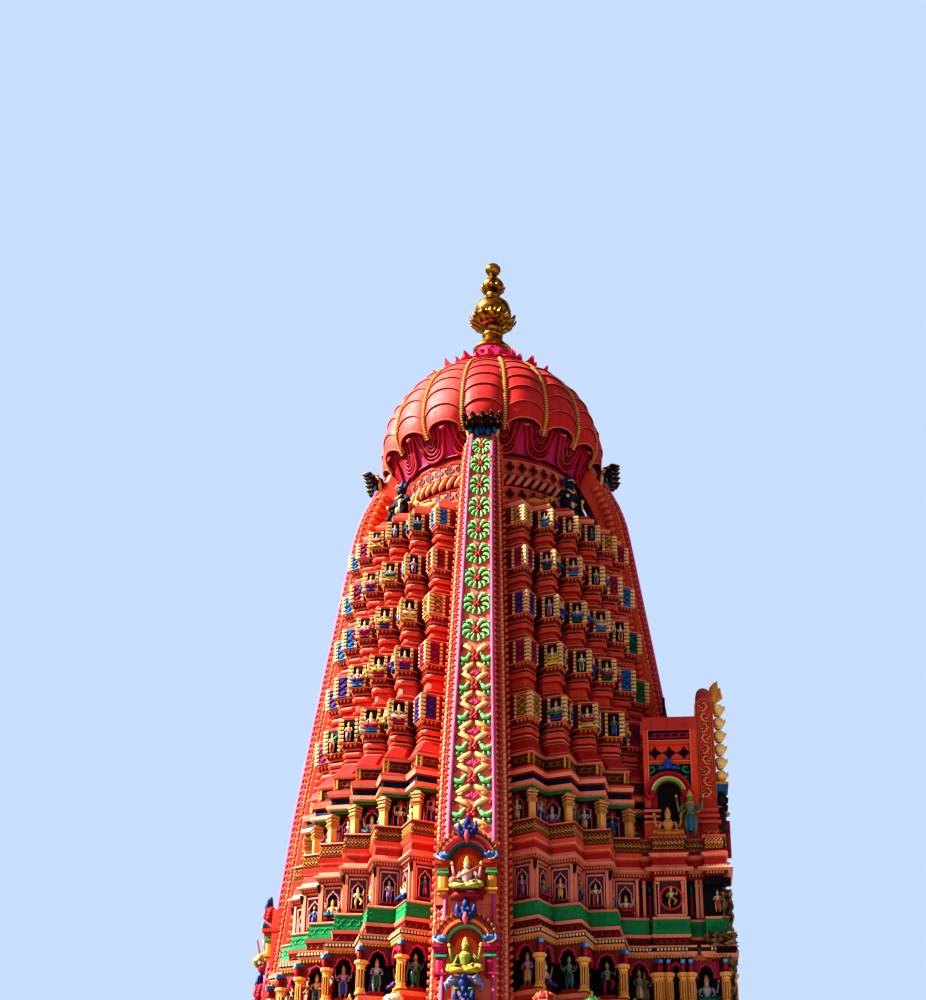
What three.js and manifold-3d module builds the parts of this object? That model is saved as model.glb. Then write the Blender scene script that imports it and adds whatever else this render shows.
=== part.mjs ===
// A tall painted temple tower: a star-shaped sanctum with a doorway, four ribbed bands that run up
// to a lobed dome, five rows of miniature shrines between them, and a gabled porch front.
// All sizes are in millimetres, +Z is up and the front band faces -Y; the porch faces +X.

import * as THREE from 'three';
import { mergeVertices } from 'three/addons/utils/BufferGeometryUtils.js';
import Module from 'manifold-3d';

const wasm = await Module();
wasm.setup();

// Joints between pieces, and lengths that reach past any side and past the top of the temple
const GAP = 0.3;
const FAR = 12000;
const SKY = 40000;

// Star plan
const STAR_CORNERS = 32;
const STAR_STEP = (2 * Math.PI) / STAR_CORNERS;
const STAR_INNER = Math.sin(Math.PI / 4) / Math.sin(Math.PI / 4 + STAR_STEP / 2);

// Levels of the tower
const PLINTH_TOP = 1200;
const WALL_TOP = 9200;
const EAVE_TOP = 9500;
const STOREY_D_TOP = 11300;
const STOREY_C_TOP = 12900;
const STOREY_B_TOP = 14400;
const STOREY_A_TOP = 16360;
const SHOULDER_TOP = 22450;
const NECK_TOP = 24000;
const PETAL_TOP = 24600;
const DOME_CENTRE = 25000;
const CROWN_BOTTOM = 27040;
const FINIAL_BOTTOM = 28000;

// Sanctum and its doorway
const CHAMBER_HALF = 1900;
const FLOOR_THICK = 150;
const CEILING_BOTTOM = 6200;
const DOOR_HALF = 650;
const DOOR_HEIGHT = 2400;
const FRONT_WALL_X = 5300;
const PORCH_HALF = 2650;
const DOOR_FRAME = 260;
const DOOR_FRAME_OUT = 100;

// Straight fronts under the bands and the porch, which start inside the star
const BAY_ROOT_X = 3000;
const BAY_HALF = { plinth: 1150, wall: 1000, eave: 1150 };
const BAY_REACH = { plinth: 5700, wall: 5200, eave: 5400 };
const FRONT_HALF = { plinth: 2950, eave: 2950 };
const EAVE_FRONT_X = 5500;

// Steps
const RISERS = 7;
const TREAD = 300;
const STEPS_HALF = 1100;
const PLINTH_FRONT_X = 6000;

// Miniature shrine rows from the bottom up: the box bottom, the box top and the corner radius
const SHRINE_ROWS = [
  { name: 'shrine_row_5', boxBottom: 17080, boxTop: 17620, radius: 3720 },
  { name: 'shrine_row_4', boxBottom: 18350, boxTop: 18860, radius: 3550 },
  { name: 'shrine_row_3', boxBottom: 19500, boxTop: 20000, radius: 3420 },
  { name: 'shrine_row_2', boxBottom: 20630, boxTop: 21100, radius: 3300 },
  { name: 'shrine_row_1', boxBottom: 21720, boxTop: 22130, radius: 3190 },
];

// Bands: radius of the front face, half of its width, half of the whole width, and the hidden back
const BAND_OUTER = [[9500, 5000], [11400, 4730], [12760, 4550], [14560, 4320], [16160, 4100],
  [18400, 3740], [19880, 3520], [20800, 3375], [22400, 3130], [23180, 3000], [23500, 2880],
  [24000, 2660], [24360, 2460], [24600, 2360]];
const BAND_FACE = [[9500, 490], [15000, 430], [18600, 335], [24600, 215]];
const BAND_HALF = [[9500, 740], [15000, 650], [18600, 550], [22400, 430], [24600, 330]];
const BAND_BACK = [[9500, 3800], [16300, 3000], [22450, 2500], [23000, 2430], [23500, 2250],
  [24000, 2020], [24600, 1960]];

// Scroll heads at the top of the bands: height, reach and half width
const HEAD_INNER = 2380;
const HEAD_LEVELS = [[24100, 2680, 240], [24350, 2790, 310], [24650, 2810, 350], [24900, 2680, 310]];

// Dome
const DOME_CLEARANCE = 3;
const DOME_RADIUS = 2550;
const DOME_RISE = 2290;
const DOME_LOBES = 16;
const LOBE_DEPTH = 0.035;
const DOME_FOOT = [[2400, PETAL_TOP], [2530, 24850]];
const DOME_TILTS = [0, 16, 32, 46];

// Materials by sub-part
const PAINT = {
  orange: new THREE.MeshStandardMaterial({ color: 0xd8532f, roughness: 0.7, metalness: 0 }),
  red: new THREE.MeshStandardMaterial({ color: 0xb83226, roughness: 0.7, metalness: 0 }),
  coral: new THREE.MeshStandardMaterial({ color: 0xe0604f, roughness: 0.65, metalness: 0 }),
  magenta: new THREE.MeshStandardMaterial({ color: 0xc42060, roughness: 0.65, metalness: 0 }),
  blue: new THREE.MeshStandardMaterial({ color: 0x24407a, roughness: 0.6, metalness: 0 }),
  gilt: new THREE.MeshStandardMaterial({ color: 0xc9983a, roughness: 0.3, metalness: 1 }),
  ochre: new THREE.MeshStandardMaterial({ color: 0xd9a441, roughness: 0.65, metalness: 0 }),
  stone: new THREE.MeshStandardMaterial({ color: 0x9a8c7a, roughness: 0.9, metalness: 0 }),
  iron: new THREE.MeshStandardMaterial({ color: 0x1c1c20, roughness: 0.6, metalness: 0.5 }),
};

const temple = new THREE.Group();

// Solids and meshes

function solidFromArrays(positions, triangles) {
  const vertProperties = new Float32Array(positions);
  const triVerts = new Uint32Array(triangles);
  return new wasm.Manifold(new wasm.Mesh({ numProp: 3, vertProperties, triVerts }));
}

function solidOf(geometry) {
  const bare = geometry.clone();
  bare.deleteAttribute('normal');
  bare.deleteAttribute('uv');
  const merged = mergeVertices(bare, 1e-3);
  return solidFromArrays(merged.attributes.position.array, merged.index.array);
}

function addPiece(name, solid, material) {
  const cut = solid.getMesh();
  const geometry = new THREE.BufferGeometry();
  geometry.setAttribute('position', new THREE.BufferAttribute(new Float32Array(cut.vertProperties), 3));
  geometry.setIndex(new THREE.BufferAttribute(new Uint32Array(cut.triVerts), 1));
  geometry.computeVertexNormals();
  const mesh = new THREE.Mesh(geometry, material);
  mesh.name = name;
  temple.add(mesh);
}

function box(x0, x1, y0, y1, z0, z1) {
  const geometry = new THREE.BoxGeometry(x1 - x0, y1 - y0, z1 - z0);
  geometry.translate((x0 + x1) / 2, (y0 + y1) / 2, (z0 + z1) / 2);
  return solidOf(geometry);
}

function ball(x, y, z, rx, ry, rz) {
  const geometry = new THREE.SphereGeometry(1, 6, 4);
  geometry.rotateX(Math.PI / 2);
  geometry.scale(rx, ry, rz);
  geometry.translate(x, y, z);
  return solidOf(geometry);
}

function joined(solids) {
  return solids.reduce((whole, solid) => whole.add(solid));
}

function capTriangles(ring) {
  const outline = ring.map(([x, y]) => new THREE.Vector2(x, y));
  return THREE.ShapeUtils.triangulateShape(outline, []).map(([a, b, c]) => {
    const ab = outline[b].clone().sub(outline[a]);
    const ac = outline[c].clone().sub(outline[a]);
    return ab.cross(ac) > 0 ? [a, b, c] : [a, c, b];
  });
}

// Rings run counter-clockwise seen from above, and follow each other upwards
function loft(rings) {
  const count = rings[0].length;
  const last = (rings.length - 1) * count;
  const triangles = [];
  for (let level = 0; level + 1 < rings.length; level += 1) {
    for (let i = 0; i < count; i += 1) {
      const a = level * count + i;
      const b = level * count + ((i + 1) % count);
      triangles.push(a, b, b + count, a, b + count, a + count);
    }
  }
  for (const [a, b, c] of capTriangles(rings[0])) {
    triangles.push(a, c, b);
  }
  for (const [a, b, c] of capTriangles(rings[rings.length - 1])) {
    triangles.push(a + last, b + last, c + last);
  }
  return solidFromArrays(rings.flat(2), triangles);
}

function quarterTurned(ring, quarters) {
  let turned = ring;
  for (let i = 0; i < quarters; i += 1) {
    turned = turned.map(([x, y, z]) => [-y, x, z]);
  }
  return turned;
}

function valueAt(table, z) {
  if (z <= table[0][0]) {
    return table[0][1];
  }
  for (let i = 1; i < table.length; i += 1) {
    const [z0, v0] = table[i - 1];
    const [z1, v1] = table[i];
    if (z <= z1) {
      return v0 + ((v1 - v0) * (z - z0)) / (z1 - z0);
    }
  }
  return table[table.length - 1][1];
}

// Plans

function polar(radius, angle, z) {
  return [radius * Math.cos(angle), radius * Math.sin(angle), z];
}

function starRing(radius, z) {
  const ring = [];
  for (let k = 0; k < STAR_CORNERS; k += 1) {
    const angle = (k + 0.5) * STAR_STEP;
    ring.push(polar(radius, angle, z));
    ring.push(polar(radius * STAR_INNER, angle + STAR_STEP / 2, z));
  }
  return ring;
}

function starTier(levels) {
  return loft(levels.map(([z, radius]) => starRing(radius, z)));
}

function roundTier(levels, sides) {
  return loft(levels.map(([z, radius]) => {
    const ring = [];
    for (let i = 0; i < sides; i += 1) {
      ring.push(polar(radius, (2 * Math.PI * i) / sides, z));
    }
    return ring;
  }));
}

// Bands: a flat front face between two splayed borders, set deep into the tower

function bandRing(z, grow) {
  const outer = valueAt(BAND_OUTER, z) + grow;
  const face = valueAt(BAND_FACE, z) + grow / 2;
  const half = valueAt(BAND_HALF, z) + grow;
  const back = valueAt(BAND_BACK, z) - grow;
  const side = outer - (half - face);
  return [[-half, -back, z], [-half, -side, z], [-face, -outer, z],
    [face, -outer, z], [half, -side, z], [half, -back, z]];
}

// The slot that a band stands in, open to the front
function slotRing(z, grow) {
  const half = valueAt(BAND_HALF, z) + grow;
  const back = valueAt(BAND_BACK, z) - grow;
  return [[-half, -back, z], [-half, -FAR, z], [half, -FAR, z], [half, -back, z]];
}

function bandSolid(ringAt, quarters, bottom, top, grow) {
  const between = [...BAND_OUTER, ...BAND_BACK].map(([z]) => z).filter((z) => z > bottom && z < top);
  const heights = [...new Set([bottom, ...between, top])].sort((a, b) => a - b);
  return loft(heights.map((z) => quarterTurned(ringAt(z, grow), quarters)));
}

const SUKANASA_TOP = 17500;
const BANDS = [
  { name: 'band_south', quarters: 0, bottom: EAVE_TOP },
  { name: 'band_east', quarters: 1, bottom: SUKANASA_TOP },
  { name: 'band_north', quarters: 2, bottom: EAVE_TOP },
  { name: 'band_west', quarters: 3, bottom: EAVE_TOP },
];
const bandRoom = joined(BANDS.map(({ quarters, bottom }) => (
  bandSolid(slotRing, quarters, bottom - 100, PETAL_TOP + GAP, GAP))));

// Porch plan: corner bays and middle bays stand forward of the recesses between them

const PORCH_BACK_X = 2900;
const BAY_X = [3420, 3950, 4420];
const PORCH_FRONT_X = 4700;
const BAY_DEPTH = 200;
const FRONT_BAY_Y = [1900, 900];

function porchRing(out, z) {
  const side = PORCH_HALF + out;
  const recess = side - BAY_DEPTH;
  const front = PORCH_FRONT_X + out;
  const south = [
    [PORCH_BACK_X, -recess], [BAY_X[0] - out, -recess], [BAY_X[0] - out, -side],
    [BAY_X[1] + out, -side], [BAY_X[1] + out, -recess], [BAY_X[2] - out, -recess],
    [BAY_X[2] - out, -side], [front, -side], [front, -FRONT_BAY_Y[0] + out],
    [front - BAY_DEPTH, -FRONT_BAY_Y[0] + out], [front - BAY_DEPTH, -FRONT_BAY_Y[1] - out],
    [front, -FRONT_BAY_Y[1] - out],
  ];
  const north = south.map(([x, y]) => [x, -y]).reverse();
  return [...south, ...north].map(([x, y]) => [x, y, z]);
}

function porchTier(levels) {
  return loft(levels.map(([z, out]) => porchRing(out, z)));
}

// Upper porch: the block that carries the roof, and the neck of masonry that ties it to the tower
const BLOCK_X = [3260, 4330];
const BLOCK_HALF = 2100;
const BLOCK_NECK_HALF = 1600;
const BALCONY_TOP = 14870;
const ROOF_BOTTOM = 17200;
const ROOF_OVERHANG = 40;
const PORCH_REACH = PORCH_HALF + 400;

const porchRoom = box(PORCH_BACK_X - GAP, FAR, -PORCH_REACH, PORCH_REACH, EAVE_TOP - 10, STOREY_B_TOP);
const roofReach = BLOCK_HALF + ROOF_OVERHANG + GAP;
const neckReach = BLOCK_NECK_HALF + GAP;
const blockRoom = joined([
  box(PORCH_BACK_X - GAP, FAR, -PORCH_REACH, PORCH_REACH, STOREY_B_TOP - 1, BALCONY_TOP + GAP),
  box(BLOCK_X[0] - GAP, FAR, -roofReach, roofReach, BALCONY_TOP - 1, SUKANASA_TOP + GAP),
  box(PORCH_BACK_X - GAP, FAR, -neckReach, neckReach, BALCONY_TOP - 1, SUKANASA_TOP + GAP),
]);

// The straight bays of one course on the south, north and west sides
function bandBays(course, bottom, top) {
  const half = BAY_HALF[course];
  const reach = BAY_REACH[course];
  return box(-half, half, -reach, reach, bottom, top).add(box(-reach, 0, -half, half, bottom, top));
}

// Plinth: a star-shaped platform with a wider footing, and a straight front under the porch

const plinthLevels = [[0, 5600], [300, 5600], [360, 5450], [PLINTH_TOP, 5450]];
const plinthStar = starTier(plinthLevels);
const plinthFront = box(BAY_ROOT_X, PLINTH_FRONT_X, -FRONT_HALF.plinth, FRONT_HALF.plinth, 0, PLINTH_TOP);
addPiece('plinth', joined([plinthStar, plinthFront, bandBays('plinth', 0, PLINTH_TOP)]), PAINT.stone);

// Entrance steps between two low side walls

function stepsSolid() {
  const riser = PLINTH_TOP / RISERS;
  const foot = PLINTH_FRONT_X + GAP;
  const outline = new THREE.Shape();
  outline.moveTo(foot, 0);
  outline.lineTo(foot + TREAD * (RISERS - 1), 0);
  for (let i = 1; i < RISERS; i += 1) {
    outline.lineTo(foot + TREAD * (RISERS - i), riser * i);
    outline.lineTo(foot + TREAD * (RISERS - i - 1), riser * i);
  }
  const flight = new THREE.ExtrudeGeometry(outline, { depth: 2 * STEPS_HALF, bevelEnabled: false });
  flight.rotateX(Math.PI / 2);
  flight.translate(0, STEPS_HALF, 0);
  return solidOf(flight);
}

const CHEEK = 260;
const cheekWalls = [-1, 1].map((side) => {
  const y = side * (STEPS_HALF + CHEEK / 2);
  return box(PLINTH_FRONT_X + GAP, PLINTH_FRONT_X + TREAD * 4, y - CHEEK / 2 - 5, y + CHEEK / 2 + 5, 0, 700);
});
addPiece('entrance_steps', joined([stepsSolid(), ...cheekWalls]), PAINT.stone);

// Sanctum: thick walls around a square chamber, split at the doorway and the chamber's corners

const wallLevels = [[PLINTH_TOP, 5050], [1550, 5050], [1700, 4800], [5000, 4800], [5100, 4920],
  [5250, 4780], [8600, 4720], [8900, 5050], [WALL_TOP, 5100]];
const sanctumMass = joined([
  starTier(wallLevels),
  box(BAY_ROOT_X, FRONT_WALL_X, -PORCH_HALF - 100, PORCH_HALF + 100, PLINTH_TOP, WALL_TOP),
  box(BAY_ROOT_X, FRONT_WALL_X + DOOR_FRAME_OUT, -DOOR_HALF - DOOR_FRAME, DOOR_HALF + DOOR_FRAME,
    PLINTH_TOP, PLINTH_TOP + FLOOR_THICK + DOOR_HEIGHT + DOOR_FRAME),
  bandBays('wall', PLINTH_TOP, WALL_TOP),
]);
const doorTop = PLINTH_TOP + FLOOR_THICK + DOOR_HEIGHT;
const wallParts = [
  ['wall_west', [-FAR, -CHAMBER_HALF, -FAR, FAR, 0, FAR], PAINT.orange],
  ['wall_south', [-CHAMBER_HALF + GAP, CHAMBER_HALF - GAP, -FAR, -CHAMBER_HALF, 0, FAR], PAINT.orange],
  ['wall_north', [-CHAMBER_HALF + GAP, CHAMBER_HALF - GAP, CHAMBER_HALF, FAR, 0, FAR], PAINT.orange],
  ['door_side_south', [CHAMBER_HALF, FAR, -FAR, -DOOR_HALF, 0, FAR], PAINT.orange],
  ['door_side_north', [CHAMBER_HALF, FAR, DOOR_HALF, FAR, 0, FAR], PAINT.orange],
  ['door_lintel', [CHAMBER_HALF, FAR, -DOOR_HALF + GAP, DOOR_HALF - GAP, doorTop, FAR], PAINT.orange],
];
for (const [name, room, material] of wallParts) {
  addPiece(name, sanctumMass.intersect(box(...room)), material);
}

const floorTop = PLINTH_TOP + FLOOR_THICK;
const chamberFit = CHAMBER_HALF - GAP;
addPiece('sanctum_floor', joined([
  box(-chamberFit, chamberFit, -chamberFit, chamberFit, PLINTH_TOP, floorTop),
  box(0, FRONT_WALL_X, -DOOR_HALF + GAP, DOOR_HALF - GAP, PLINTH_TOP, floorTop),
]), PAINT.stone);
const ceiling = box(-chamberFit, chamberFit, -chamberFit, chamberFit, CEILING_BOTTOM, WALL_TOP);
addPiece('sanctum_ceiling', ceiling, PAINT.stone);

const eaveLevels = [[WALL_TOP, 5250], [9380, 5300], [EAVE_TOP, 5100]];
addPiece('main_eave', joined([
  starTier(eaveLevels),
  box(BAY_ROOT_X, EAVE_FRONT_X, -FRONT_HALF.eave, FRONT_HALF.eave, WALL_TOP, EAVE_TOP),
  bandBays('eave', WALL_TOP, EAVE_TOP),
]), PAINT.red);

// Storeys of the tower: star-shaped tiers, two of them with a deeply recessed wall

const storeys = [
  { name: 'storey_d', room: porchRoom,
    levels: [[EAVE_TOP, 4900], [9820, 4850], [9860, 4560], [10750, 4520], [10880, 4760],
      [11000, 4560], [STOREY_D_TOP, 4560]] },
  { name: 'storey_c', room: porchRoom,
    levels: [[STOREY_D_TOP, 4440], [11530, 4440], [11550, 4010], [12430, 4010], [12450, 4290],
      [12500, 4420], [12620, 4410], [12680, 4210], [STOREY_C_TOP, 4280]] },
  { name: 'storey_b', room: porchRoom,
    levels: [[STOREY_C_TOP, 4220], [13220, 4180], [13260, 3990], [14040, 3970], [14100, 4160],
      [14200, 4165], [14280, 4030], [STOREY_B_TOP, 4030]] },
  { name: 'storey_a', room: blockRoom,
    levels: [[STOREY_B_TOP, 4090], [14860, 4010], [14880, 3620], [15500, 3620], [15530, 3930],
      [15690, 3980], [15760, 3850], [15990, 3940], [16060, 3780], [STOREY_A_TOP, 3870]] },
];
for (const storey of storeys) {
  const solid = starTier(storey.levels).subtract(bandRoom).subtract(storey.room);
  addPiece(storey.name, solid, PAINT.orange);
}

// Rows of miniature shrines: a stem with a wide plate, a flaring hem and a square box set cornerwise

function shrineLevels(base, baseRadius, row) {
  const stem = row.boxBottom - base;
  return [
    [base, baseRadius - 40],
    [base + Math.round(stem * 0.45), row.radius - 190],
    [base + Math.round(stem * 0.6), row.radius - 10],
    [row.boxBottom, row.radius],
    [row.boxTop, row.radius],
  ];
}

let rowBase = STOREY_A_TOP;
let rowRadius = 3820;
for (const row of SHRINE_ROWS) {
  const solid = starTier(shrineLevels(rowBase, rowRadius, row)).subtract(bandRoom).subtract(blockRoom);
  addPiece(row.name, solid, PAINT.orange);
  rowBase = row.boxTop;
  rowRadius = row.radius;
}

// Shoulder, neck and the petals that open under the dome

const shoulder = starTier([[rowBase, 3020], [22300, 3080], [SHOULDER_TOP, 2900]]);
addPiece('shoulder', shoulder.subtract(bandRoom), PAINT.orange);

const neckLevels = [[SHOULDER_TOP, 1930], [23220, 1930], [23300, 2010], [23480, 2010], [23560, 1930],
  [NECK_TOP, 1930]];
addPiece('neck', roundTier(neckLevels, 24).subtract(bandRoom), PAINT.coral);

const petalLevels = [[NECK_TOP, 1960], [24120, 2000], [24380, 2180], [PETAL_TOP, 2340]];
addPiece('neck_petals', roundTier(petalLevels, 24).subtract(bandRoom), PAINT.magenta);

// Dome of sixteen lobes, the crown of petals and the gilt finial

function lobedRing(radius, z) {
  const perLobe = 3;
  const ring = [];
  for (let i = 0; i < DOME_LOBES * perLobe; i += 1) {
    const angle = (2 * Math.PI * i) / (DOME_LOBES * perLobe);
    const groove = (1 - Math.cos(angle * DOME_LOBES)) / 2;
    ring.push(polar(radius * (1 - LOBE_DEPTH * groove * groove), angle, z));
  }
  return ring;
}

const domeRings = DOME_FOOT.map(([radius, z]) => lobedRing(radius, z));
for (const degrees of DOME_TILTS) {
  const t = THREE.MathUtils.degToRad(degrees);
  domeRings.push(lobedRing(DOME_RADIUS * Math.cos(t), Math.round(DOME_CENTRE + DOME_RISE * Math.sin(t))));
}
const crownFit = Math.sqrt(1 - ((CROWN_BOTTOM - DOME_CENTRE) / DOME_RISE) ** 2) * DOME_RADIUS;
domeRings.push(lobedRing(crownFit, CROWN_BOTTOM));
addPiece('dome', loft(domeRings), PAINT.coral);

const crownLevels = [[CROWN_BOTTOM, 1130], [27240, 960], [27560, 640], [FINIAL_BOTTOM, 430]];
addPiece('crown_petals', roundTier(crownLevels, 20), PAINT.magenta);

const finial = {
  finial_base: [[FINIAL_BOTTOM, 400], [28420, 220], [28700, 240], [28860, 470], [29000, 500]],
  finial_pot: [[29000, 320], [29140, 355], [29280, 350], [29420, 290], [29560, 160]],
  finial_spire: [[29560, 160], [29700, 160], [29860, 240], [29980, 245], [30220, 90], [30400, 150],
    [30600, 20]],
};
for (const [name, levels] of Object.entries(finial)) {
  addPiece(name, roundTier(levels, 12), PAINT.gilt);
}

// Bands and their scroll heads

for (const band of BANDS) {
  addPiece(band.name, bandSolid(bandRing, band.quarters, band.bottom, PETAL_TOP - GAP, 0), PAINT.coral);
}

const bandBodies = joined(BANDS.map(({ quarters, bottom }) => (
  bandSolid(bandRing, quarters, bottom, PETAL_TOP, GAP))));
const domeClear = loft(domeRings.map((ring) => ring.map(([x, y, z]) => {
  const grow = 1 + DOME_CLEARANCE / Math.hypot(x, y);
  return [x * grow, y * grow, z];
})));

function headRing([z, outer, half], quarters) {
  const ring = [[-half, -HEAD_INNER, z], [-half, -outer, z], [half, -outer, z], [half, -HEAD_INNER, z]];
  return quarterTurned(ring, quarters);
}

for (const band of BANDS) {
  const head = loft(HEAD_LEVELS.map((level) => headRing(level, band.quarters)));
  const seated = head.subtract(bandBodies).subtract(domeClear);
  addPiece(band.name.replace('band', 'scroll_head'), seated, PAINT.gilt);
}

function turnedSolid(solid, quarters) {
  const cut = solid.getMesh();
  const points = [];
  for (let i = 0; i < cut.vertProperties.length; i += 3) {
    points.push(Array.from(cut.vertProperties.slice(i, i + 3)));
  }
  return solidFromArrays(quarterTurned(points, quarters).flat(), cut.triVerts);
}

// Arched shrines stacked on the foot of the south, north and west bands

const SHRINE_BASES = [9700, 11400, 13000];
const SHRINE_FACE = [5080, 4900, 4770];
const SHRINE_HALF = 580;
const ARCH_OUTER = 560;
const ARCH_INNER = 350;

function archSolid(springZ, outer, inner, back, front) {
  const outline = new THREE.Shape();
  outline.absarc(0, 0, outer, -0.25, Math.PI + 0.25, false);
  outline.absarc(0, 0, inner, Math.PI + 0.25, -0.25, true);
  const depth = front - back;
  const arch = new THREE.ExtrudeGeometry(outline, { depth, bevelEnabled: false, curveSegments: 4 });
  arch.rotateX(Math.PI / 2);
  arch.translate(0, -back, springZ);
  return solidOf(arch);
}

function seatedFigure(y, seatZ, height) {
  return joined([
    ball(0, y, seatZ + height * 0.3, height * 0.4, height * 0.26, height * 0.42),
    ball(0, y, seatZ + height * 0.86, height * 0.14, height * 0.14, height * 0.18),
  ]);
}

function shrineSolid(index) {
  const base = SHRINE_BASES[index];
  const face = SHRINE_FACE[index];
  const back = face - 480;
  const seat = base + 180;
  const spring = seat + 640;
  return joined([
    box(-SHRINE_HALF - 20, SHRINE_HALF + 20, -face - 20, -back, base - 200, seat),
    box(-SHRINE_HALF, -SHRINE_HALF + 150, -face, -back, seat - 5, spring),
    box(SHRINE_HALF - 150, SHRINE_HALF, -face, -back, seat - 5, spring),
    archSolid(spring, ARCH_OUTER, ARCH_INNER, back, face),
    box(-130, 130, -face, -back, spring + ARCH_INNER + 20, spring + 780),
    seatedFigure(-face + 200, seat - 10, 780),
  ]);
}

const spineTop = SHRINE_BASES[2] + 1400;
const spine = loft([EAVE_TOP, SHRINE_BASES[1], spineTop].map((z) => {
  const face = valueAt(BAND_OUTER, z);
  return [[-420, -face + 200, z], [-420, -face - 110, z], [420, -face - 110, z], [420, -face + 200, z]];
}));
const shrineStack = joined([spine, ...SHRINE_BASES.map((base, index) => shrineSolid(index))])
  .subtract(bandBodies);
for (const band of BANDS.filter(({ name }) => name !== 'band_east')) {
  addPiece(band.name.replace('band', 'shrines'), turnedSolid(shrineStack, band.quarters), PAINT.ochre);
}

// Porch: three storeys with the tower's mouldings, then the block that carries the front gable

const porchStoreys = [
  { name: 'porch_storey_d', levels: [[EAVE_TOP, 230], [9820, 200], [9860, 60], [10750, 40],
    [10850, 200], [10980, 180], [11040, 60], [STOREY_D_TOP, 60]] },
  { name: 'porch_storey_c', levels: [[STOREY_D_TOP, 150], [11530, 150], [11550, -60], [12430, -60],
    [12450, 60], [12500, 200], [12620, 190], [12680, 60], [STOREY_C_TOP, 110]] },
  { name: 'porch_storey_b', levels: [[STOREY_C_TOP, 100], [13220, 80], [13260, 0], [14040, 0],
    [14100, 200], [14200, 200], [14280, 60], [STOREY_B_TOP, 60]] },
];
for (const { name, levels } of porchStoreys) {
  addPiece(name, porchTier(levels), PAINT.orange);
}

// Balcony, block, arched window and roof of the upper porch

const WINDOW_X = 3740;
const WINDOW_HALF = 200;
const WINDOW_SILL = BALCONY_TOP + 250;
const WINDOW_SPRING = 16020;
const WINDOW_DEPTH = 450;
const HOOD_OUTER = 420;
const HOOD_DEPTH = 110;
const HOOD_STAND = 45;
const HOOD_RETURN = 0.5;
const ROOF_SAG_X = 3800;
const ROOF_SAG = 110;
const ROOF_BACK_DROP = 20;
const GABLE_X = [BLOCK_X[1] + GAP, 4690];
const GABLE_SHOULDER = 17800;
const GABLE_RADIUS = 1230;
const GABLE_SLAB = 260;
const BUTTRESS_HALF = 490;
const BUTTRESS_HEAD = 180;

const balconyLevels = [[STOREY_B_TOP, 100], [14520, 120], [14560, 80], [BALCONY_TOP, 60]];
addPiece('balcony', porchTier(balconyLevels), PAINT.ochre);

// A blind arched window in each flank, under a projecting round hood
function windowCut(side) {
  const outside = side * BLOCK_HALF * 1.1;
  const inside = side * (BLOCK_HALF - WINDOW_DEPTH);
  const [low, high] = [Math.min(outside, inside), Math.max(outside, inside)];
  const opening = box(WINDOW_X - WINDOW_HALF, WINDOW_X + WINDOW_HALF, low, high, WINDOW_SILL, WINDOW_SPRING);
  const head = new THREE.CylinderGeometry(WINDOW_HALF, WINDOW_HALF, high - low, 12);
  head.translate(WINDOW_X, (low + high) / 2, WINDOW_SPRING);
  return opening.add(solidOf(head));
}

// A flat outline in x and z, with its depth along y
function upright(outline, depth, segments) {
  const options = { depth, bevelEnabled: false, curveSegments: segments };
  const geometry = new THREE.ExtrudeGeometry(outline, options);
  geometry.rotateX(Math.PI / 2);
  return geometry;
}

function windowHood(side) {
  const outline = new THREE.Shape();
  outline.absarc(0, 0, HOOD_OUTER, -HOOD_RETURN, Math.PI + HOOD_RETURN, false);
  outline.absarc(0, 0, WINDOW_HALF, Math.PI + HOOD_RETURN, -HOOD_RETURN, true);
  const hood = upright(outline, HOOD_DEPTH, 8);
  hood.translate(WINDOW_X, side * (BLOCK_HALF + HOOD_STAND) + HOOD_DEPTH / 2, WINDOW_SPRING);
  return solidOf(hood);
}

const block = joined([
  box(BLOCK_X[0], BLOCK_X[1], -BLOCK_HALF, BLOCK_HALF, BALCONY_TOP, ROOF_BOTTOM),
  box(PORCH_BACK_X, BLOCK_X[0] + 10, -BLOCK_NECK_HALF, BLOCK_NECK_HALF, BALCONY_TOP, ROOF_BOTTOM),
  windowHood(-1),
  windowHood(1),
]);
addPiece('sukanasa_block', block.subtract(windowCut(-1)).subtract(windowCut(1)), PAINT.orange);

// The roof sags a little between the tower and the gable
function roofSolid(lift, back, half) {
  const outline = new THREE.Shape();
  outline.moveTo(back, ROOF_BOTTOM);
  outline.lineTo(BLOCK_X[1], ROOF_BOTTOM);
  outline.lineTo(BLOCK_X[1], SUKANASA_TOP);
  outline.quadraticCurveTo(ROOF_SAG_X, SUKANASA_TOP - ROOF_SAG, back, SUKANASA_TOP - ROOF_BACK_DROP);
  const roof = upright(outline, 2 * half, 8);
  roof.translate(0, half, lift);
  return solidOf(roof);
}

function wholeRoof(lift) {
  const wide = roofSolid(lift, BLOCK_X[0], BLOCK_HALF + ROOF_OVERHANG);
  return wide.add(roofSolid(lift, PORCH_BACK_X, BLOCK_NECK_HALF));
}

addPiece('sukanasa_roof', wholeRoof(0), PAINT.coral);

// Front gable: side buttresses with rounded heads, and a half-round slab between them

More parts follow.
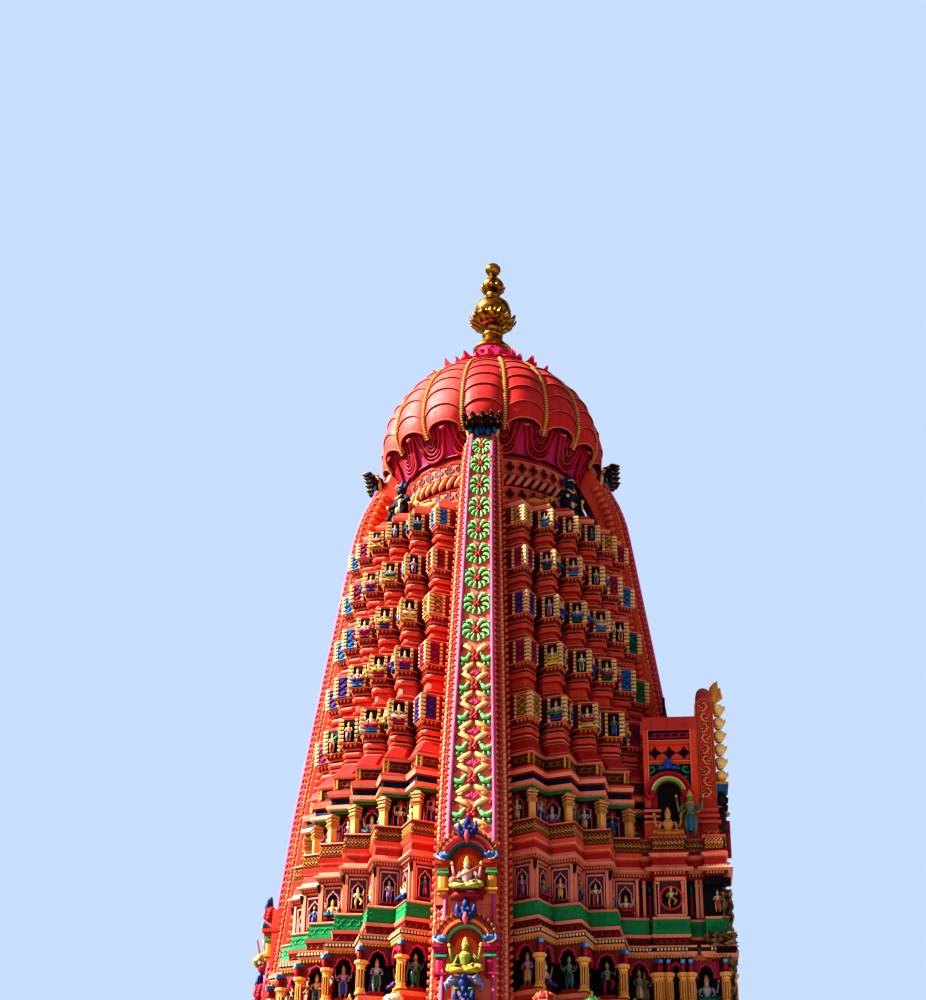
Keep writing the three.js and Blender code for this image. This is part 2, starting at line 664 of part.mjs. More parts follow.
function gableSolid() {
  const outline = new THREE.Shape();
  outline.moveTo(-GABLE_RADIUS, BALCONY_TOP);
  outline.lineTo(GABLE_RADIUS, BALCONY_TOP);
  outline.lineTo(GABLE_RADIUS, GABLE_SHOULDER);
  outline.absarc(0, GABLE_SHOULDER, GABLE_RADIUS, 0, Math.PI, false);
  const slab = upright(outline, GABLE_SLAB, 16);
  slab.rotateZ(Math.PI / 2);
  slab.translate(GABLE_X[1] - GABLE_SLAB, 0, 0);
  const buttresses = [-1, 1].map((side) => {
    const y = side * (BLOCK_HALF - BUTTRESS_HALF);
    const [low, high] = [y - BUTTRESS_HALF, y + BUTTRESS_HALF];
    const head = new THREE.CylinderGeometry(BUTTRESS_HEAD, BUTTRESS_HEAD, 2 * BUTTRESS_HALF, 16);
    head.translate((GABLE_X[0] + GABLE_X[1]) / 2, y, GABLE_SHOULDER);
    const wall = box(GABLE_X[0], GABLE_X[1], low, high, BALCONY_TOP, GABLE_SHOULDER);
    return wall.add(solidOf(head));
  });
  return joined([solidOf(slab), ...buttresses]);
}

addPiece('front_gable', gableSolid(), PAINT.orange);

// Gilt knobs up both edges of the gable front, with a flame knob at the apex

const KNOB_PITCH = 286;
const KNOB_COUNT = 6;
const KNOB_FIRST = 16340;
const KNOB_STRIP_THICK = 40;
const BRACKET_Z = [15500, 16200];
const BRACKET_REACH = 190;
const FLAME_Z = [18780, 18960, 19130, 19300];

function knobSolid(x, y, z) {
  const knob = new THREE.CylinderGeometry(40, 110, 200, 6);
  knob.rotateX(Math.PI / 2);
  knob.translate(x, y, z);
  return solidOf(knob);
}

function knobStrip(side) {
  const y = side * (BLOCK_HALF - 120);
  const x = GABLE_X[1] + GAP;
  const strip = box(x, x + KNOB_STRIP_THICK, y - 60, y + 60, BRACKET_Z[1] - 10, GABLE_SHOULDER);
  const knobs = [];
  for (let i = 0; i < KNOB_COUNT; i += 1) {
    knobs.push(knobSolid(x + 110, y, KNOB_FIRST + KNOB_PITCH * i));
  }
  const bracket = box(x, x + BRACKET_REACH, y - 110, y + 110, BRACKET_Z[0], BRACKET_Z[1]);
  return joined([strip, bracket, ...knobs]).intersect(box(x, x + FAR, -FAR, FAR, 0, SKY));
}

addPiece('gable_knobs_south', knobStrip(-1), PAINT.gilt);
addPiece('gable_knobs_north', knobStrip(1), PAINT.gilt);

const flame = loft([120, 190, 140, 20].map((half, index) => [FLAME_Z[index], half]).map(([z, half]) => (
  [[GABLE_X[1] + GAP, -half, z], [GABLE_X[1] + GAP + 200, -half, z],
    [GABLE_X[1] + GAP + 200, half, z], [GABLE_X[1] + GAP, half, z]])));
addPiece('gable_flame', flame, PAINT.gilt);

// Thin rod on the porch roof

const ROD = { x: 3720, y: -1500, radius: 26, top: 18280 };
const rodBottom = ROOF_BOTTOM + 100;
const rod = new THREE.CylinderGeometry(ROD.radius, ROD.radius, ROD.top - rodBottom, 10);
rod.rotateX(Math.PI / 2);
rod.translate(ROD.x, ROD.y, (ROD.top + rodBottom) / 2);
addPiece('roof_rod', solidOf(rod).subtract(wholeRoof(GAP)), PAINT.iron);

// Guardians seated on the shoulder at the diagonals, each between two lying bulls

const GUARDIAN_RADIUS = 2480;
const BULL_TURN = 0.3;
const LEDGE_REACH = 0.42;

function arcSlab(inner, outer, reach, z0, z1) {
  const outline = new THREE.Shape();
  outline.absarc(0, 0, outer, -reach, reach, false);
  outline.absarc(0, 0, inner, reach, -reach, true);
  const slab = new THREE.ExtrudeGeometry(outline, { depth: z1 - z0, bevelEnabled: false, curveSegments: 4 });
  slab.translate(0, 0, z0);
  return solidOf(slab);
}

function bullSolid(turn) {
  const bull = new THREE.SphereGeometry(1, 6, 4);
  bull.rotateX(Math.PI / 2);
  bull.scale(130, 300, 170);
  bull.translate(GUARDIAN_RADIUS - 60, 0, SHOULDER_TOP + 165);
  bull.rotateZ(turn);
  return solidOf(bull);
}

const guardian = joined([
  arcSlab(GUARDIAN_RADIUS - 160, GUARDIAN_RADIUS + 120, LEDGE_REACH, SHOULDER_TOP, SHOULDER_TOP + 60),
  ball(GUARDIAN_RADIUS, 0, SHOULDER_TOP + 230, 200, 330, 230),
  ball(GUARDIAN_RADIUS - 20, 0, SHOULDER_TOP + 520, 150, 200, 260),
  ball(GUARDIAN_RADIUS - 20, 0, SHOULDER_TOP + 860, 110, 110, 160),
  bullSolid(-BULL_TURN),
  bullSolid(BULL_TURN),
]).intersect(box(0, FAR, -FAR, FAR, SHOULDER_TOP, SKY));

function rotatedSolid(solid, angle) {
  const cut = solid.getMesh();
  const points = [];
  for (let i = 0; i < cut.vertProperties.length; i += 3) {
    const [x, y, z] = cut.vertProperties.slice(i, i + 3);
    points.push(x * Math.cos(angle) - y * Math.sin(angle), x * Math.sin(angle) + y * Math.cos(angle), z);
  }
  return solidFromArrays(points, cut.triVerts);
}

const diagonals = { southeast: -45, northeast: 45, northwest: 135, southwest: 225 };
for (const [side, degrees] of Object.entries(diagonals)) {
  const angle = THREE.MathUtils.degToRad(degrees);
  addPiece(`guardian_${side}`, rotatedSolid(guardian, angle), PAINT.blue);
}

export default temple;
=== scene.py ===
# A painted plaster temple tower on a star plan, put together from the ground up.
# Lengths are in metres, +Z is up, the front band faces -Y and the porch faces +X.

from math import ceil, copysign, cos, exp, pi, radians, sin, sqrt

import bpy
import numpy as np
from mathutils import Matrix, Vector


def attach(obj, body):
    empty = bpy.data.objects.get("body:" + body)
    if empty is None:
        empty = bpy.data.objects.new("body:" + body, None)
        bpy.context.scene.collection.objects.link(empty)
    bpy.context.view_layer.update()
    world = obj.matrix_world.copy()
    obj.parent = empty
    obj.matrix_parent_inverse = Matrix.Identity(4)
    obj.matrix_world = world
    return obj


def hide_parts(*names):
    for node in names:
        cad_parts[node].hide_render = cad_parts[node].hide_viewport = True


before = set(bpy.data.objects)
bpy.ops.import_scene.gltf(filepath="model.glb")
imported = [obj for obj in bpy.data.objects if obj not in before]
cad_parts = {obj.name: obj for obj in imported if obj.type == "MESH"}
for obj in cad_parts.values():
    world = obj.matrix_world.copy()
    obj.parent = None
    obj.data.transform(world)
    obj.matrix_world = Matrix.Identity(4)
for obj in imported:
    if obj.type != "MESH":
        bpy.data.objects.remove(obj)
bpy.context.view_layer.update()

# Plinth: a low platform of dressed grey stone under the whole temple. Its courses are cut
# blocks with a moulded foot and a plain top course, on the same star plan as the tower, with
# straight fronts under the bands and the porch.

PLINTH_TOP = 1.2
STAR_CORNERS = 24
STAR_STEP = radians(11.25)
STAR_INNER = sin(pi / 4) / sin(pi / 4 + STAR_STEP / 2)
STAR_FACE = STAR_INNER * sin(STAR_STEP / 2) * sqrt(2)
FIRST_CORNER = 16.875
HERE = np.hstack([np.eye(3), np.zeros((3, 1))])[None]


def paint(red, green, blue):
    """A paint colour from its shade as the eye sees it, 0 to 255."""
    shade = np.array([red, green, blue]) / 255.0
    return np.where(shade <= 0.04045, shade / 12.92, ((shade + 0.055) / 1.055) ** 2.4)


class Cast:
    """Shapes gathered for one piece, each with its paint, and then made into one mesh."""

    def __init__(self):
        self.points, self.corners, self.sizes, self.paints, self.soft = [], [], [], [], []
        self.count = 0

    def add(self, shape, colour, places=HERE, soft=False):
        """Adds a shape once for each place. colour is one paint, or one for each place."""
        points, faces = np.asarray(shape[0], float), shape[1]
        copies = len(places)
        if copies == 0:
            return
        sizes = np.array([len(face) for face in faces])
        corners = np.concatenate([np.asarray(face) for face in faces])
        moved = np.einsum("nij,pj->npi", places[:, :, :3], points) + places[:, None, :, 3]
        first = self.count + np.arange(copies) * len(points)
        self.points.append(moved.reshape(-1, 3))
        self.corners.append((corners[None] + first[:, None]).ravel())
        self.sizes.append(np.tile(sizes, copies))
        shades = np.broadcast_to(np.asarray(colour, float), (copies, 3))
        self.paints.append(np.repeat(shades, len(sizes), axis=0))
        self.soft.append(np.full(len(sizes) * copies, soft))
        self.count += copies * len(points)

    def make(self, name, material, slot, *nodes):
        """Makes the mesh, hangs it on the temple and hides the CAD nodes that it stands for."""
        points = np.concatenate(self.points)
        corners = np.concatenate(self.corners)
        sizes = np.concatenate(self.sizes)
        mesh = bpy.data.meshes.new(name)
        mesh.vertices.add(len(points))
        mesh.vertices.foreach_set("co", points.ravel())
        mesh.loops.add(len(corners))
        mesh.loops.foreach_set("vertex_index", corners.astype(np.int32))
        mesh.polygons.add(len(sizes))
        starts = np.concatenate([[0], np.cumsum(sizes)[:-1]]).astype(np.int32)
        mesh.polygons.foreach_set("loop_start", starts)
        mesh.polygons.foreach_set("use_smooth", np.concatenate(self.soft))
        mesh.update(calc_edges=True)
        mesh.validate()
        layer = mesh.color_attributes.new("paint", "FLOAT_COLOR", "CORNER")
        shades = np.repeat(np.concatenate(self.paints), sizes, axis=0)
        layer.data.foreach_set("color", np.hstack([shades, np.ones((len(shades), 1))]).ravel())
        piece = bpy.data.objects.new(name, mesh)
        bpy.context.scene.collection.objects.link(piece)
        mesh.materials.append(material)
        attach(piece, "root")
        if nodes:
            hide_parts(*nodes)
        return piece


def block(x0, x1, y0, y1, z0, z1):
    """A square-cut block."""
    points = [(x, y, z) for z in (z0, z1) for x, y in ((x0, y0), (x1, y0), (x1, y1), (x0, y1))]
    faces = [(3, 2, 1, 0), (4, 5, 6, 7), (0, 1, 5, 4), (1, 2, 6, 5), (2, 3, 7, 6), (3, 0, 4, 7)]
    return points, faces


def slab(half, y0, y1, z0, z1):
    """A block that is centred across."""
    return block(-half, half, y0, y1, z0, z1)


def turned_over(faces):
    """The same faces seen from their other side."""
    return [tuple(reversed(face)) for face in faces]


def stacked(rings, foot=True, top=True):
    """A skin over rings of points that follow each other upwards, closed at foot and top."""
    rings = np.asarray(rings, float)
    levels, count = rings.shape[:2]
    faces = []
    for level in range(levels - 1):
        for i in range(count):
            a, b = level * count + i, level * count + (i + 1) % count
            faces.append((a, b, b + count, a + count))
    if foot:
        faces.append(tuple(range(count - 1, -1, -1)))
    if top:
        faces.append(tuple(range((levels - 1) * count, levels * count)))
    return rings.reshape(-1, 3), faces


def turned(profile, sides, begin=0.0):
    """A round shape from (radius, height) pairs, bottom first."""
    angles = begin + np.arange(sides) * 2 * pi / sides
    return stacked([[(r * cos(a), r * sin(a), z) for a in angles] for r, z in profile])


def facing(angle, radius, z=0.0):
    """A place on the tower whose front looks out along the angle: x right, y inward, z up."""
    out = np.array([cos(angle), sin(angle), 0.0])
    right = np.array([-out[1], out[0], 0.0])
    place = np.zeros((3, 4))
    place[:, 0], place[:, 1], place[2, 2] = right, -out, 1.0
    place[:, 3] = out * radius + np.array([0, 0, z])
    return place


def shifted(places, x=0.0, y=0.0, z=0.0):
    """The places moved along their own right, inward and up directions."""
    moved = np.array(places, float, copy=True)
    step = np.broadcast_to(np.stack(np.broadcast_arrays(x, y, z), -1), (len(moved), 3))
    moved[:, :, 3] += np.einsum("nij,nj->ni", moved[:, :, :3], step)
    return moved


def sized(places, size):
    """The places with a scale of their own, one for all or one for each."""
    moved = np.array(places, float, copy=True)
    moved[:, :, :3] *= np.broadcast_to(size, (len(moved),))[:, None, None]
    return moved


def corner_angle(column):
    """The bearing of one of the star's 24 corners, counted anticlockwise from the south band."""
    return radians(90 * (column // 6) - 90 + FIRST_CORNER) + column % 6 * STAR_STEP


def star_ring(radius, z, ease=0.0):
    """The tower's plan: six square corners between two bands, each eased by a small cut."""
    ring = []
    for column in range(STAR_CORNERS):
        corner = corner_angle(column)
        point = np.array([cos(corner), sin(corner)]) * radius
        if column % 6 == 0:
            ring.append((*inner_corner(radius, corner - STAR_STEP / 2), z))
        for side in (-1, 1):
            to = inner_corner(radius, corner + side * STAR_STEP / 2) - point
            ring.append((*(point + to / np.linalg.norm(to) * ease), z))
        ring.append((*inner_corner(radius, corner + STAR_STEP / 2), z))
    return ring


def inner_corner(radius, angle):
    """The inner corner between two points of the star."""
    return np.array([cos(angle), sin(angle)]) * radius * STAR_INNER


def star_skin(cast, levels, ring=star_ring):
    """Moulded courses on one plan: each level is (height, radius, corner cut, paint above it)."""
    for low, high in zip(levels[:-1], levels[1:]):
        rings = [ring(radius, z, cut) for z, radius, cut, colour in (low, high)]
        cast.add(stacked(rings, foot=False, top=False), low[3])
    for (z, radius, cut, colour), closed in ((levels[0], {"top": False}), (levels[-1], {"foot": False})):
        cast.add(stacked([ring(radius, z, cut)] * 2, **closed), colour)


def wire(tree, node, sockets):
    """Sets a node's inputs: each gets a value, or the output that feeds it."""
    for name, given in sockets.items():
        if isinstance(given, bpy.types.NodeSocket):
            tree.links.new(given, node.inputs[name])
        else:
            node.inputs[name].default_value = given
    return node


def add_node(tree, kind, sockets=None, **traits):
    """A new shader node with its traits and its inputs."""
    node = tree.nodes.new("ShaderNode" + kind)
    for trait, setting in traits.items():
        setattr(node, trait, setting)
    return wire(tree, node, sockets or {})


def new_material(name):
    """A new material with its node tree and its Principled BSDF."""
    material = bpy.data.materials.new(name)
    material.use_nodes = True
    return material, material.node_tree, material.node_tree.nodes["Principled BSDF"]


def surface(tree, shader, colour, roughness, height, strength, distance):
    """Joins colour, roughness and fine relief to the Principled BSDF."""
    relief = add_node(tree, "Bump", {"Strength": strength, "Distance": distance, "Height": height})
    wire(tree, shader, {"Base Color": colour, "Roughness": roughness, "Normal": relief.outputs[0]})


def group_with(name, inputs, outputs):
    """A new shader node group with named sockets, its input node and its output node."""
    group = bpy.data.node_groups.new(name, "ShaderNodeTree")
    for label, kind, value in inputs:
        socket = group.interface.new_socket(label, in_out="INPUT", socket_type=kind)
        if value is not None:
            socket.default_value = value
    for label, kind in outputs:
        group.interface.new_socket(label, in_out="OUTPUT", socket_type=kind)
    return group, group.nodes.new("NodeGroupInput"), group.nodes.new("NodeGroupOutput")


def grey_stone_material():
    """Weathered grey stone laid in courses, with open joints and a mottled grain."""
    material, tree, shader = new_material("grey stone")
    spot = add_node(tree, "TexCoord")
    faces = add_node(tree, "SeparateXYZ", {0: spot.outputs["Normal"]}).outputs
    where = add_node(tree, "SeparateXYZ", {0: spot.outputs["Object"]}).outputs
    faces_x = add_node(tree, "Math", {0: faces[0]}, operation="ABSOLUTE")
    turned_side = add_node(tree, "Math", {0: faces_x.outputs[0], 1: 0.72}, operation="GREATER_THAN")
    along = add_node(
        tree, "Mix", {"Factor": turned_side.outputs[0], 2: where[0], 3: where[1]}, data_type="FLOAT")
    laid = add_node(tree, "CombineXYZ", {0: along.outputs[0], 1: where[2]})
    blocks = add_node(
        tree, "TexBrick",
        {
            "Vector": laid.outputs[0], "Scale": 1.0, "Brick Width": 0.78, "Row Height": 0.3,
            "Mortar Size": 0.008, "Mortar Smooth": 0.4, "Color1": (*paint(176, 168, 156), 1),
            "Color2": (*paint(150, 144, 136), 1), "Mortar": (*paint(86, 80, 74), 1)})
    grain = add_node(tree, "TexNoise", {"Vector": spot.outputs["Object"], "Scale": 14.0, "Detail": 7.0})
    speckle = add_node(tree, "Mix", {"Factor": 0.55}, data_type="RGBA", blend_type="OVERLAY")
    wire(tree, speckle, {6: blocks.outputs["Color"], 7: grain.outputs["Color"]})
    even = add_node(tree, "HueSaturation", {"Saturation": 0.5, "Color": speckle.outputs[2]})
    rough = add_node(tree, "MapRange", {"Value": grain.outputs[0], "To Min": 0.7, "To Max": 0.95})
    joints = add_node(
        tree, "Math", {0: blocks.outputs["Fac"], 1: -0.8, 2: grain.outputs[0]}, operation="MULTIPLY_ADD")
    surface(tree, shader, even.outputs["Color"], rough.outputs[0], joints.outputs[0], 0.5, 0.02)
    return material


def dress(node, material):
    """Gives a piece that comes as it is from the model its finished surface."""
    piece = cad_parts[node]
    if piece.data.materials:
        for slot in piece.material_slots:
            slot.material = material
    else:
        piece.data.materials.append(material)


grey_stone = grey_stone_material()
for stone_piece in ("plinth", "entrance_steps", "sanctum_floor", "sanctum_ceiling"):
    dress(stone_piece, grey_stone)

# Sanctum wall: thick brick walls under painted plaster, open only at the doorway in the porch.
# Square pilasters stand on every corner of the star, and moulded niches with plaster figures
# on iron pins fill the faces between them in two tiers.


def plaster_wear_and_shade_group():
    """Sun-bleached paint on plaster: fading, rain streaks, dirt and painted shade in the hollows, and trowel
    marks.
    """
    group, given, out = group_with(
        "plaster wear",
        (
            ("Paint", "NodeSocketColor", (0.8, 0.1, 0.05, 1.0)), ("Fading", "NodeSocketFloat", 0.35),
            ("Streaks", "NodeSocketFloat", 0.35), ("Hollow Dirt And Shade", "NodeSocketFloat", 0.5),),
        (("Color", "NodeSocketColor"), ("Roughness", "NodeSocketFloat"), ("Height", "NodeSocketFloat")),)
    spot = add_node(group, "TexCoord").outputs["Object"]

    def noise(scale, detail, stretch=None):
        where = spot
        if stretch:
            where = add_node(group, "Mapping", {"Scale": stretch, "Vector": spot}).outputs[0]
        marks = {"Scale": scale, "Detail": detail, "Roughness": 0.6, "Vector": where}
        return add_node(group, "TexNoise", marks).outputs[0]

    def between(value, low, high, to_low, to_high):
        ends = {"Value": value, "From Min": low, "From Max": high, "To Min": to_low, "To Max": to_high}
        return add_node(group, "MapRange", ends).outputs[0]

    def blended(share, under, over, blend="MULTIPLY"):
        node = add_node(group, "Mix", data_type="RGBA", blend_type=blend)
        return wire(group, node, {"Factor": share, 6: under, 7: over}).outputs[2]

    def times(value, name):
        amounts = {0: value, 1: given.outputs[name]}
        return add_node(group, "Math", amounts, operation="MULTIPLY").outputs[0]

    fresh = given.outputs["Paint"]
    bleached = add_node(group, "HueSaturation", {"Saturation": 0.84, "Value": 1.15, "Color": fresh})
    patches = between(noise(0.9, 4.0), 0.42, 0.68, 0.0, 1.0)
    faded = blended(times(patches, "Fading"), fresh, bleached.outputs[0], "MIX")
    streaks = between(noise(1.0, 5.0, (5.5, 5.5, 0.5)), 0.53, 0.75, 0.0, 1.0)
    stained = blended(times(streaks, "Streaks"), faded, (*paint(150, 122, 112), 1))
    # Ambient occlusion darkens the paint in hollows and creases: dirt that gathers there, and painted shade
    # where the shade falls.
    hollow = add_node(group, "AmbientOcclusion", {"Distance": 0.14}, samples=4)
    closed = between(hollow.outputs["AO"], 0.25, 0.95, 1.0, 0.0)
    dirty_and_shaded = blended(times(closed, "Hollow Dirt And Shade"), stained, (*paint(112, 38, 34), 1))
    strokes = noise(34.0, 4.0)
    shade = add_node(group, "CombineColor", {i: between(strokes, 0.3, 0.7, 0.93, 1.05) for i in range(3)})
    wire(
        group, out,
        {
            "Color": blended(1.0, dirty_and_shaded, shade.outputs[0]),
            "Roughness": between(noise(7.0, 4.0), 0.3, 0.7, 0.48, 0.72), "Height": strokes})
    return group


plaster_wear_and_shade = plaster_wear_and_shade_group()


def plaster_material(name, colour=None, fading=0.35, streaks=0.35):
    """Painted plaster. Without a colour it takes the paint that is laid on each face."""
    material, tree, shader = new_material(name)
    if colour is None:
        laid = add_node(tree, "Attribute", attribute_name="paint").outputs["Color"]
    else:
        laid = (*colour, 1)
    wear = add_node(tree, "Group", node_tree=plaster_wear_and_shade)
    wire(tree, wear, {"Paint": laid, "Fading": fading, "Streaks": streaks, "Hollow Dirt And Shade": 0.5})
    shader.inputs["Specular IOR Level"].default_value = 0.35
    worn_and_shaded = wear.outputs
    surface(tree, shader, worn_and_shaded["Color"], worn_and_shaded["Roughness"], worn_and_shaded["Height"], 0.35, 0.012)
    return material


ORANGE = paint(230, 88, 56)
# SALMON is the paint of posts and frames; on the outer edges of the ledges in the level tables it is partly
# sun-faded paint and partly a painted highlight.
SALMON = paint(250, 160, 124)
RED = paint(198, 44, 32)
CRIMSON = paint(190, 26, 44)
DEEP_RED = paint(120, 18, 20)
MAGENTA = paint(206, 26, 96)
PINK = paint(236, 126, 160)
CREAM = paint(248, 214, 160)
BUFF = paint(234, 180, 104)
MUSTARD = paint(220, 150, 46)
OCHRE = paint(230, 164, 66)
BROWN_GOLD = paint(176, 112, 44)
DARK_RELIEF = paint(96, 44, 26)
GREEN = paint(28, 158, 94)
LIGHT_GREEN = paint(124, 222, 130)
BLUE = paint(40, 124, 206)
NIGHT_BLUE = paint(22, 34, 66)
TEAL = paint(20, 128, 124)
LILAC = paint(116, 88, 116)
# Near black: the paint of hair, and painted shade wherever it fills a niche's hollow, an opening, a slot or a
# gap.
BLACK_AND_HOLLOW_SHADE = paint(20, 15, 18)
GOLD_PAINT = paint(232, 186, 74)

painted_plaster = plaster_material("painted plaster")
wall_plaster = plaster_material("orange wall plaster", ORANGE, fading=0.5, streaks=0.6)
lintel_plaster = plaster_material("red wall plaster", RED, fading=0.5, streaks=0.6)
for wall_piece in ("wall_west", "wall_south", "wall_north", "door_side_south", "door_side_north"):
    dress(wall_piece, wall_plaster)
dress("door_lintel", lintel_plaster)


def blob(centre, radii, sides=7, rings=4):
    """A rounded body about its centre."""
    bends = np.linspace(0.3, pi - 0.3, rings)
    points, faces = turned([(sin(t), -cos(t)) for t in bends], sides)
    return points * np.array(radii, float) + np.array(centre, float), faces


def limb(path, radii, sides=5, flat=1.0):
    """A tapered limb, stem or scroll along the path; flat presses it from front to back."""
    path = np.asarray(path, float)
    radii = np.broadcast_to(np.asarray(radii, float), (len(path),))
    ways = np.gradient(path, axis=0)
    ways /= np.linalg.norm(ways, axis=1)[:, None]
    front = np.array([0.0, -1.0, 0.0])
    rings = []
    for spot, way, radius in zip(path, ways, radii):
        over = np.cross(front, way)
        if np.linalg.norm(over) < 0.2:
            over = np.array([1.0, 0.0, 0.0])
        over /= np.linalg.norm(over)
        beside = np.cross(way, over)
        turns = np.arange(sides) * 2 * pi / sides
        ring = [spot + radius * (cos(t) * over + flat * sin(t) * beside) for t in turns]
        rings.append(ring)
    return stacked(rings)


def mirrored(shape, axes=(-1, 1, 1)):
    """The same shape on the other side, with its faces turned to stay outside."""
    return np.array(shape[0], float) * axes, turned_over(shape[1])


def gathered(*shapes):
    """Several shapes as one."""
    points, faces, count = [], [], 0
    for shape in shapes:
        points.append(np.asarray(shape[0], float))
        faces.extend(tuple(i + count for i in face) for face in shape[1])
        count += len(shape[0])
    return np.concatenate(points), faces


def pair(shape):
    """A shape and its mirror image."""
    return gathered(shape, mirrored(shape))


def squashed(profile, sides, deep=0.65):
    """A turned shape pressed from front to back, as plaster bodies are."""
    points, faces = turned(profile, sides)
    return points * (1, deep, 1), faces


def place_figures(cast, places, height, skin, dress_paint, pose="standing"):
    """Plaster figures of one pose. height is theirs, skin and dress_paint one paint or one each."""
    if len(places) == 0:
        return
    spots = sized(places, height)
    low = -0.36 if pose == "seated" else 0.0
    skins = []
    if pose == "seated":
        thigh = limb([(0.09, 0.02, 0.15), (0.27, -0.1, 0.11), (0.24, -0.2, 0.07)], (0.1, 0.085, 0.06))
        shin = limb([(0.24, -0.2, 0.06), (0.08, -0.24, 0.045), (-0.06, -0.22, 0.04)], (0.06, 0.045, 0.03))
        lap = gathered(pair(thigh), pair(shin), blob((0, 0, 0.1), (0.17, 0.12, 0.1)))
        cast.add(lap, dress_paint, spots, True)
    elif pose == "dancing":
        bent = limb(
            [(0.07, 0, 0.5), (0.22, -0.06, 0.36), (0.12, -0.06, 0.2), (0.15, -0.1, 0.18)],
            (0.075, 0.065, 0.04, 0.03))
        straight = limb([(-0.06, 0, 0.5), (-0.1, -0.03, 0.26), (-0.06, 0, 0.02)], (0.075, 0.055, 0.035))
        cast.add(
            gathered(bent, straight, blob((-0.07, -0.04, 0.02), (0.04, 0.08, 0.025), 6, 3)), dress_paint,
            spots, True)
    else:
        leg = limb([(0.07, 0, 0.5), (0.085, -0.02, 0.27), (0.075, 0, 0.03)], (0.075, 0.055, 0.035))
        foot = blob((0.085, -0.045, 0.025), (0.038, 0.075, 0.025), 6, 3)
        skins += [pair(leg), pair(foot)]
        hem = squashed([(0.125, 0.16), (0.14, 0.3), (0.13, 0.44), (0.095, 0.54)], 9, 0.7)
        fold = slab(0.035, -0.13, -0.09, 0.12, 0.5)
        cast.add(gathered(hem, fold), dress_paint, spots, True)
    chest = squashed([
        (0.088, 0.5 + low), (0.078, 0.57 + low), (0.112, 0.67 + low), (0.125, 0.72 + low),
        (0.055, 0.785 + low)], 9)
    head = blob((0, -0.012, 0.85 + low), (0.062, 0.066, 0.078), 8, 5)
    skins += [chest, head]
    shoulder = 0.735 + low
    lowered = limb(
        [(0.125, 0, shoulder), (0.19, -0.01, shoulder - 0.16), (0.12, -0.12, shoulder - 0.2)],
        (0.042, 0.034, 0.026))
    raised = limb(
        [(0.125, 0, shoulder), (0.235, -0.01, shoulder - 0.1), (0.27, -0.05, shoulder + 0.11)],
        (0.042, 0.034, 0.024))
    held = pair(blob((0.275, -0.05, shoulder + 0.16), (0.035, 0.02, 0.045), 6, 3))
    if pose == "standing":
        skins.append(pair(lowered))
    elif pose == "dancing":
        skins += [raised, mirrored(lowered)]
    else:
        skins += [pair(raised), pair(lowered)]
        cast.add(held, GOLD_PAINT, spots, True)
    cast.add(gathered(*skins), skin, spots, True)
    crown = turned([
        (0.066, 0.885 + low), (0.07, 0.905 + low), (0.05, 0.96 + low), (0.052, 0.975 + low),
        (0.012, 1.05 + low)], 7)
    collar = squashed([(0.112, 0.728 + low), (0.066, 0.79 + low)], 9, 0.74)
    belt = squashed([(0.1, 0.49 + low), (0.1, 0.53 + low)], 9, 0.78)
    cast.add(gathered(crown, collar, belt), GOLD_PAINT, spots)
    cast.add(blob((0, 0.02, 0.86 + low), (0.072, 0.06, 0.075), 7, 4), BLACK_AND_HOLLOW_SHADE, spots, True)


def star_faces(radius, z, columns=range(STAR_CORNERS), sides=(-1, 1)):
    """A place at the middle of the star's faces. Side -1 is the face on the corner's left."""
    places = []
    for column in columns:
        corner = corner_angle(column)
        point = np.array([cos(corner), sin(corner)]) * radius
        for side in sides:
            middle = (point + inner_corner(radius, corner + side * STAR_STEP / 2)) / 2
            place = facing(corner + side * pi / 4, 0.0, z)
            place[:2, 3] = middle
            places.append(place)
    return np.array(places)


def star_corners(radius, z):
    """A place on each corner of the star, facing outward along its diagonal."""
    return np.array([facing(corner_angle(column), radius, z) for column in range(STAR_CORNERS)])


def clear_of_porch(places, front=2.9, half=2.72):
    """Only the places that the porch does not hide."""
    inside = (places[:, 0, 3] > front) & (np.abs(places[:, 1, 3]) < half)
    return places[~inside]


def clear_of_block(places):
    """Only the places that the porch's upper block and its neck do not hide."""
    return clear_of_porch(clear_of_porch(places, 3.2, 2.2), 2.84, 1.66)


def arch_line(half, spring, rise, foils=0, depth=0.13, count=17, point=0.0):
    """The edge of an arch from left to right, with foils where it has them."""
    line = []
    for turn in np.linspace(pi, 0, count):
        bulge = 1.0 - depth * (1 - abs(sin(foils * turn))) if foils else 1.0
        bulge += point * exp(-(((turn - pi / 2) / 0.22) ** 2))
        line.append((half * cos(turn) * bulge, spring + rise * sin(turn) * bulge))
    return line


def strip(inner, outer, front, back):
    """A raised band between two lines of the same length, with its front and both edges."""
    points, faces = [], []
    for line in (inner, outer):
        for y in (front, back):
            points += [(x, y, z) for x, z in line]
    n = len(inner)
    for i in range(n - 1):
        faces.append((i, 2 * n + i, 2 * n + i + 1, i + 1))
        faces.append((2 * n + i, 3 * n + i, 3 * n + i + 1, 2 * n + i + 1))
        faces.append((n + i, i, i + 1, n + i + 1))
    faces.append((0, n, 3 * n, 2 * n))
    faces.append((n - 1, 3 * n - 1, 4 * n - 1, 2 * n - 1))
    return points, turned_over(faces)


def board(outline, front, back):
    """A flat shape cut to an outline of (x, z) points, anticlockwise as seen from the front."""
    n = len(outline)
    points = [(x, front, z) for x, z in outline] + [(x, back, z) for x, z in outline]
    faces = [tuple(range(n))]
    for i in range(n):
        j = (i + 1) % n
        faces.append((j, i, n + i, n + j))
    return points, faces


def niche_board(half, foot, spring, rise, front, foils=0, point=0.0):
    """The hollow of a niche as a flat board with an arched head; painted near black, it is painted shade."""
    head = arch_line(half, spring, rise, foils, point=point)
    return board([(half, foot)] + head[::-1] + [(-half, foot)], front, 0.02)


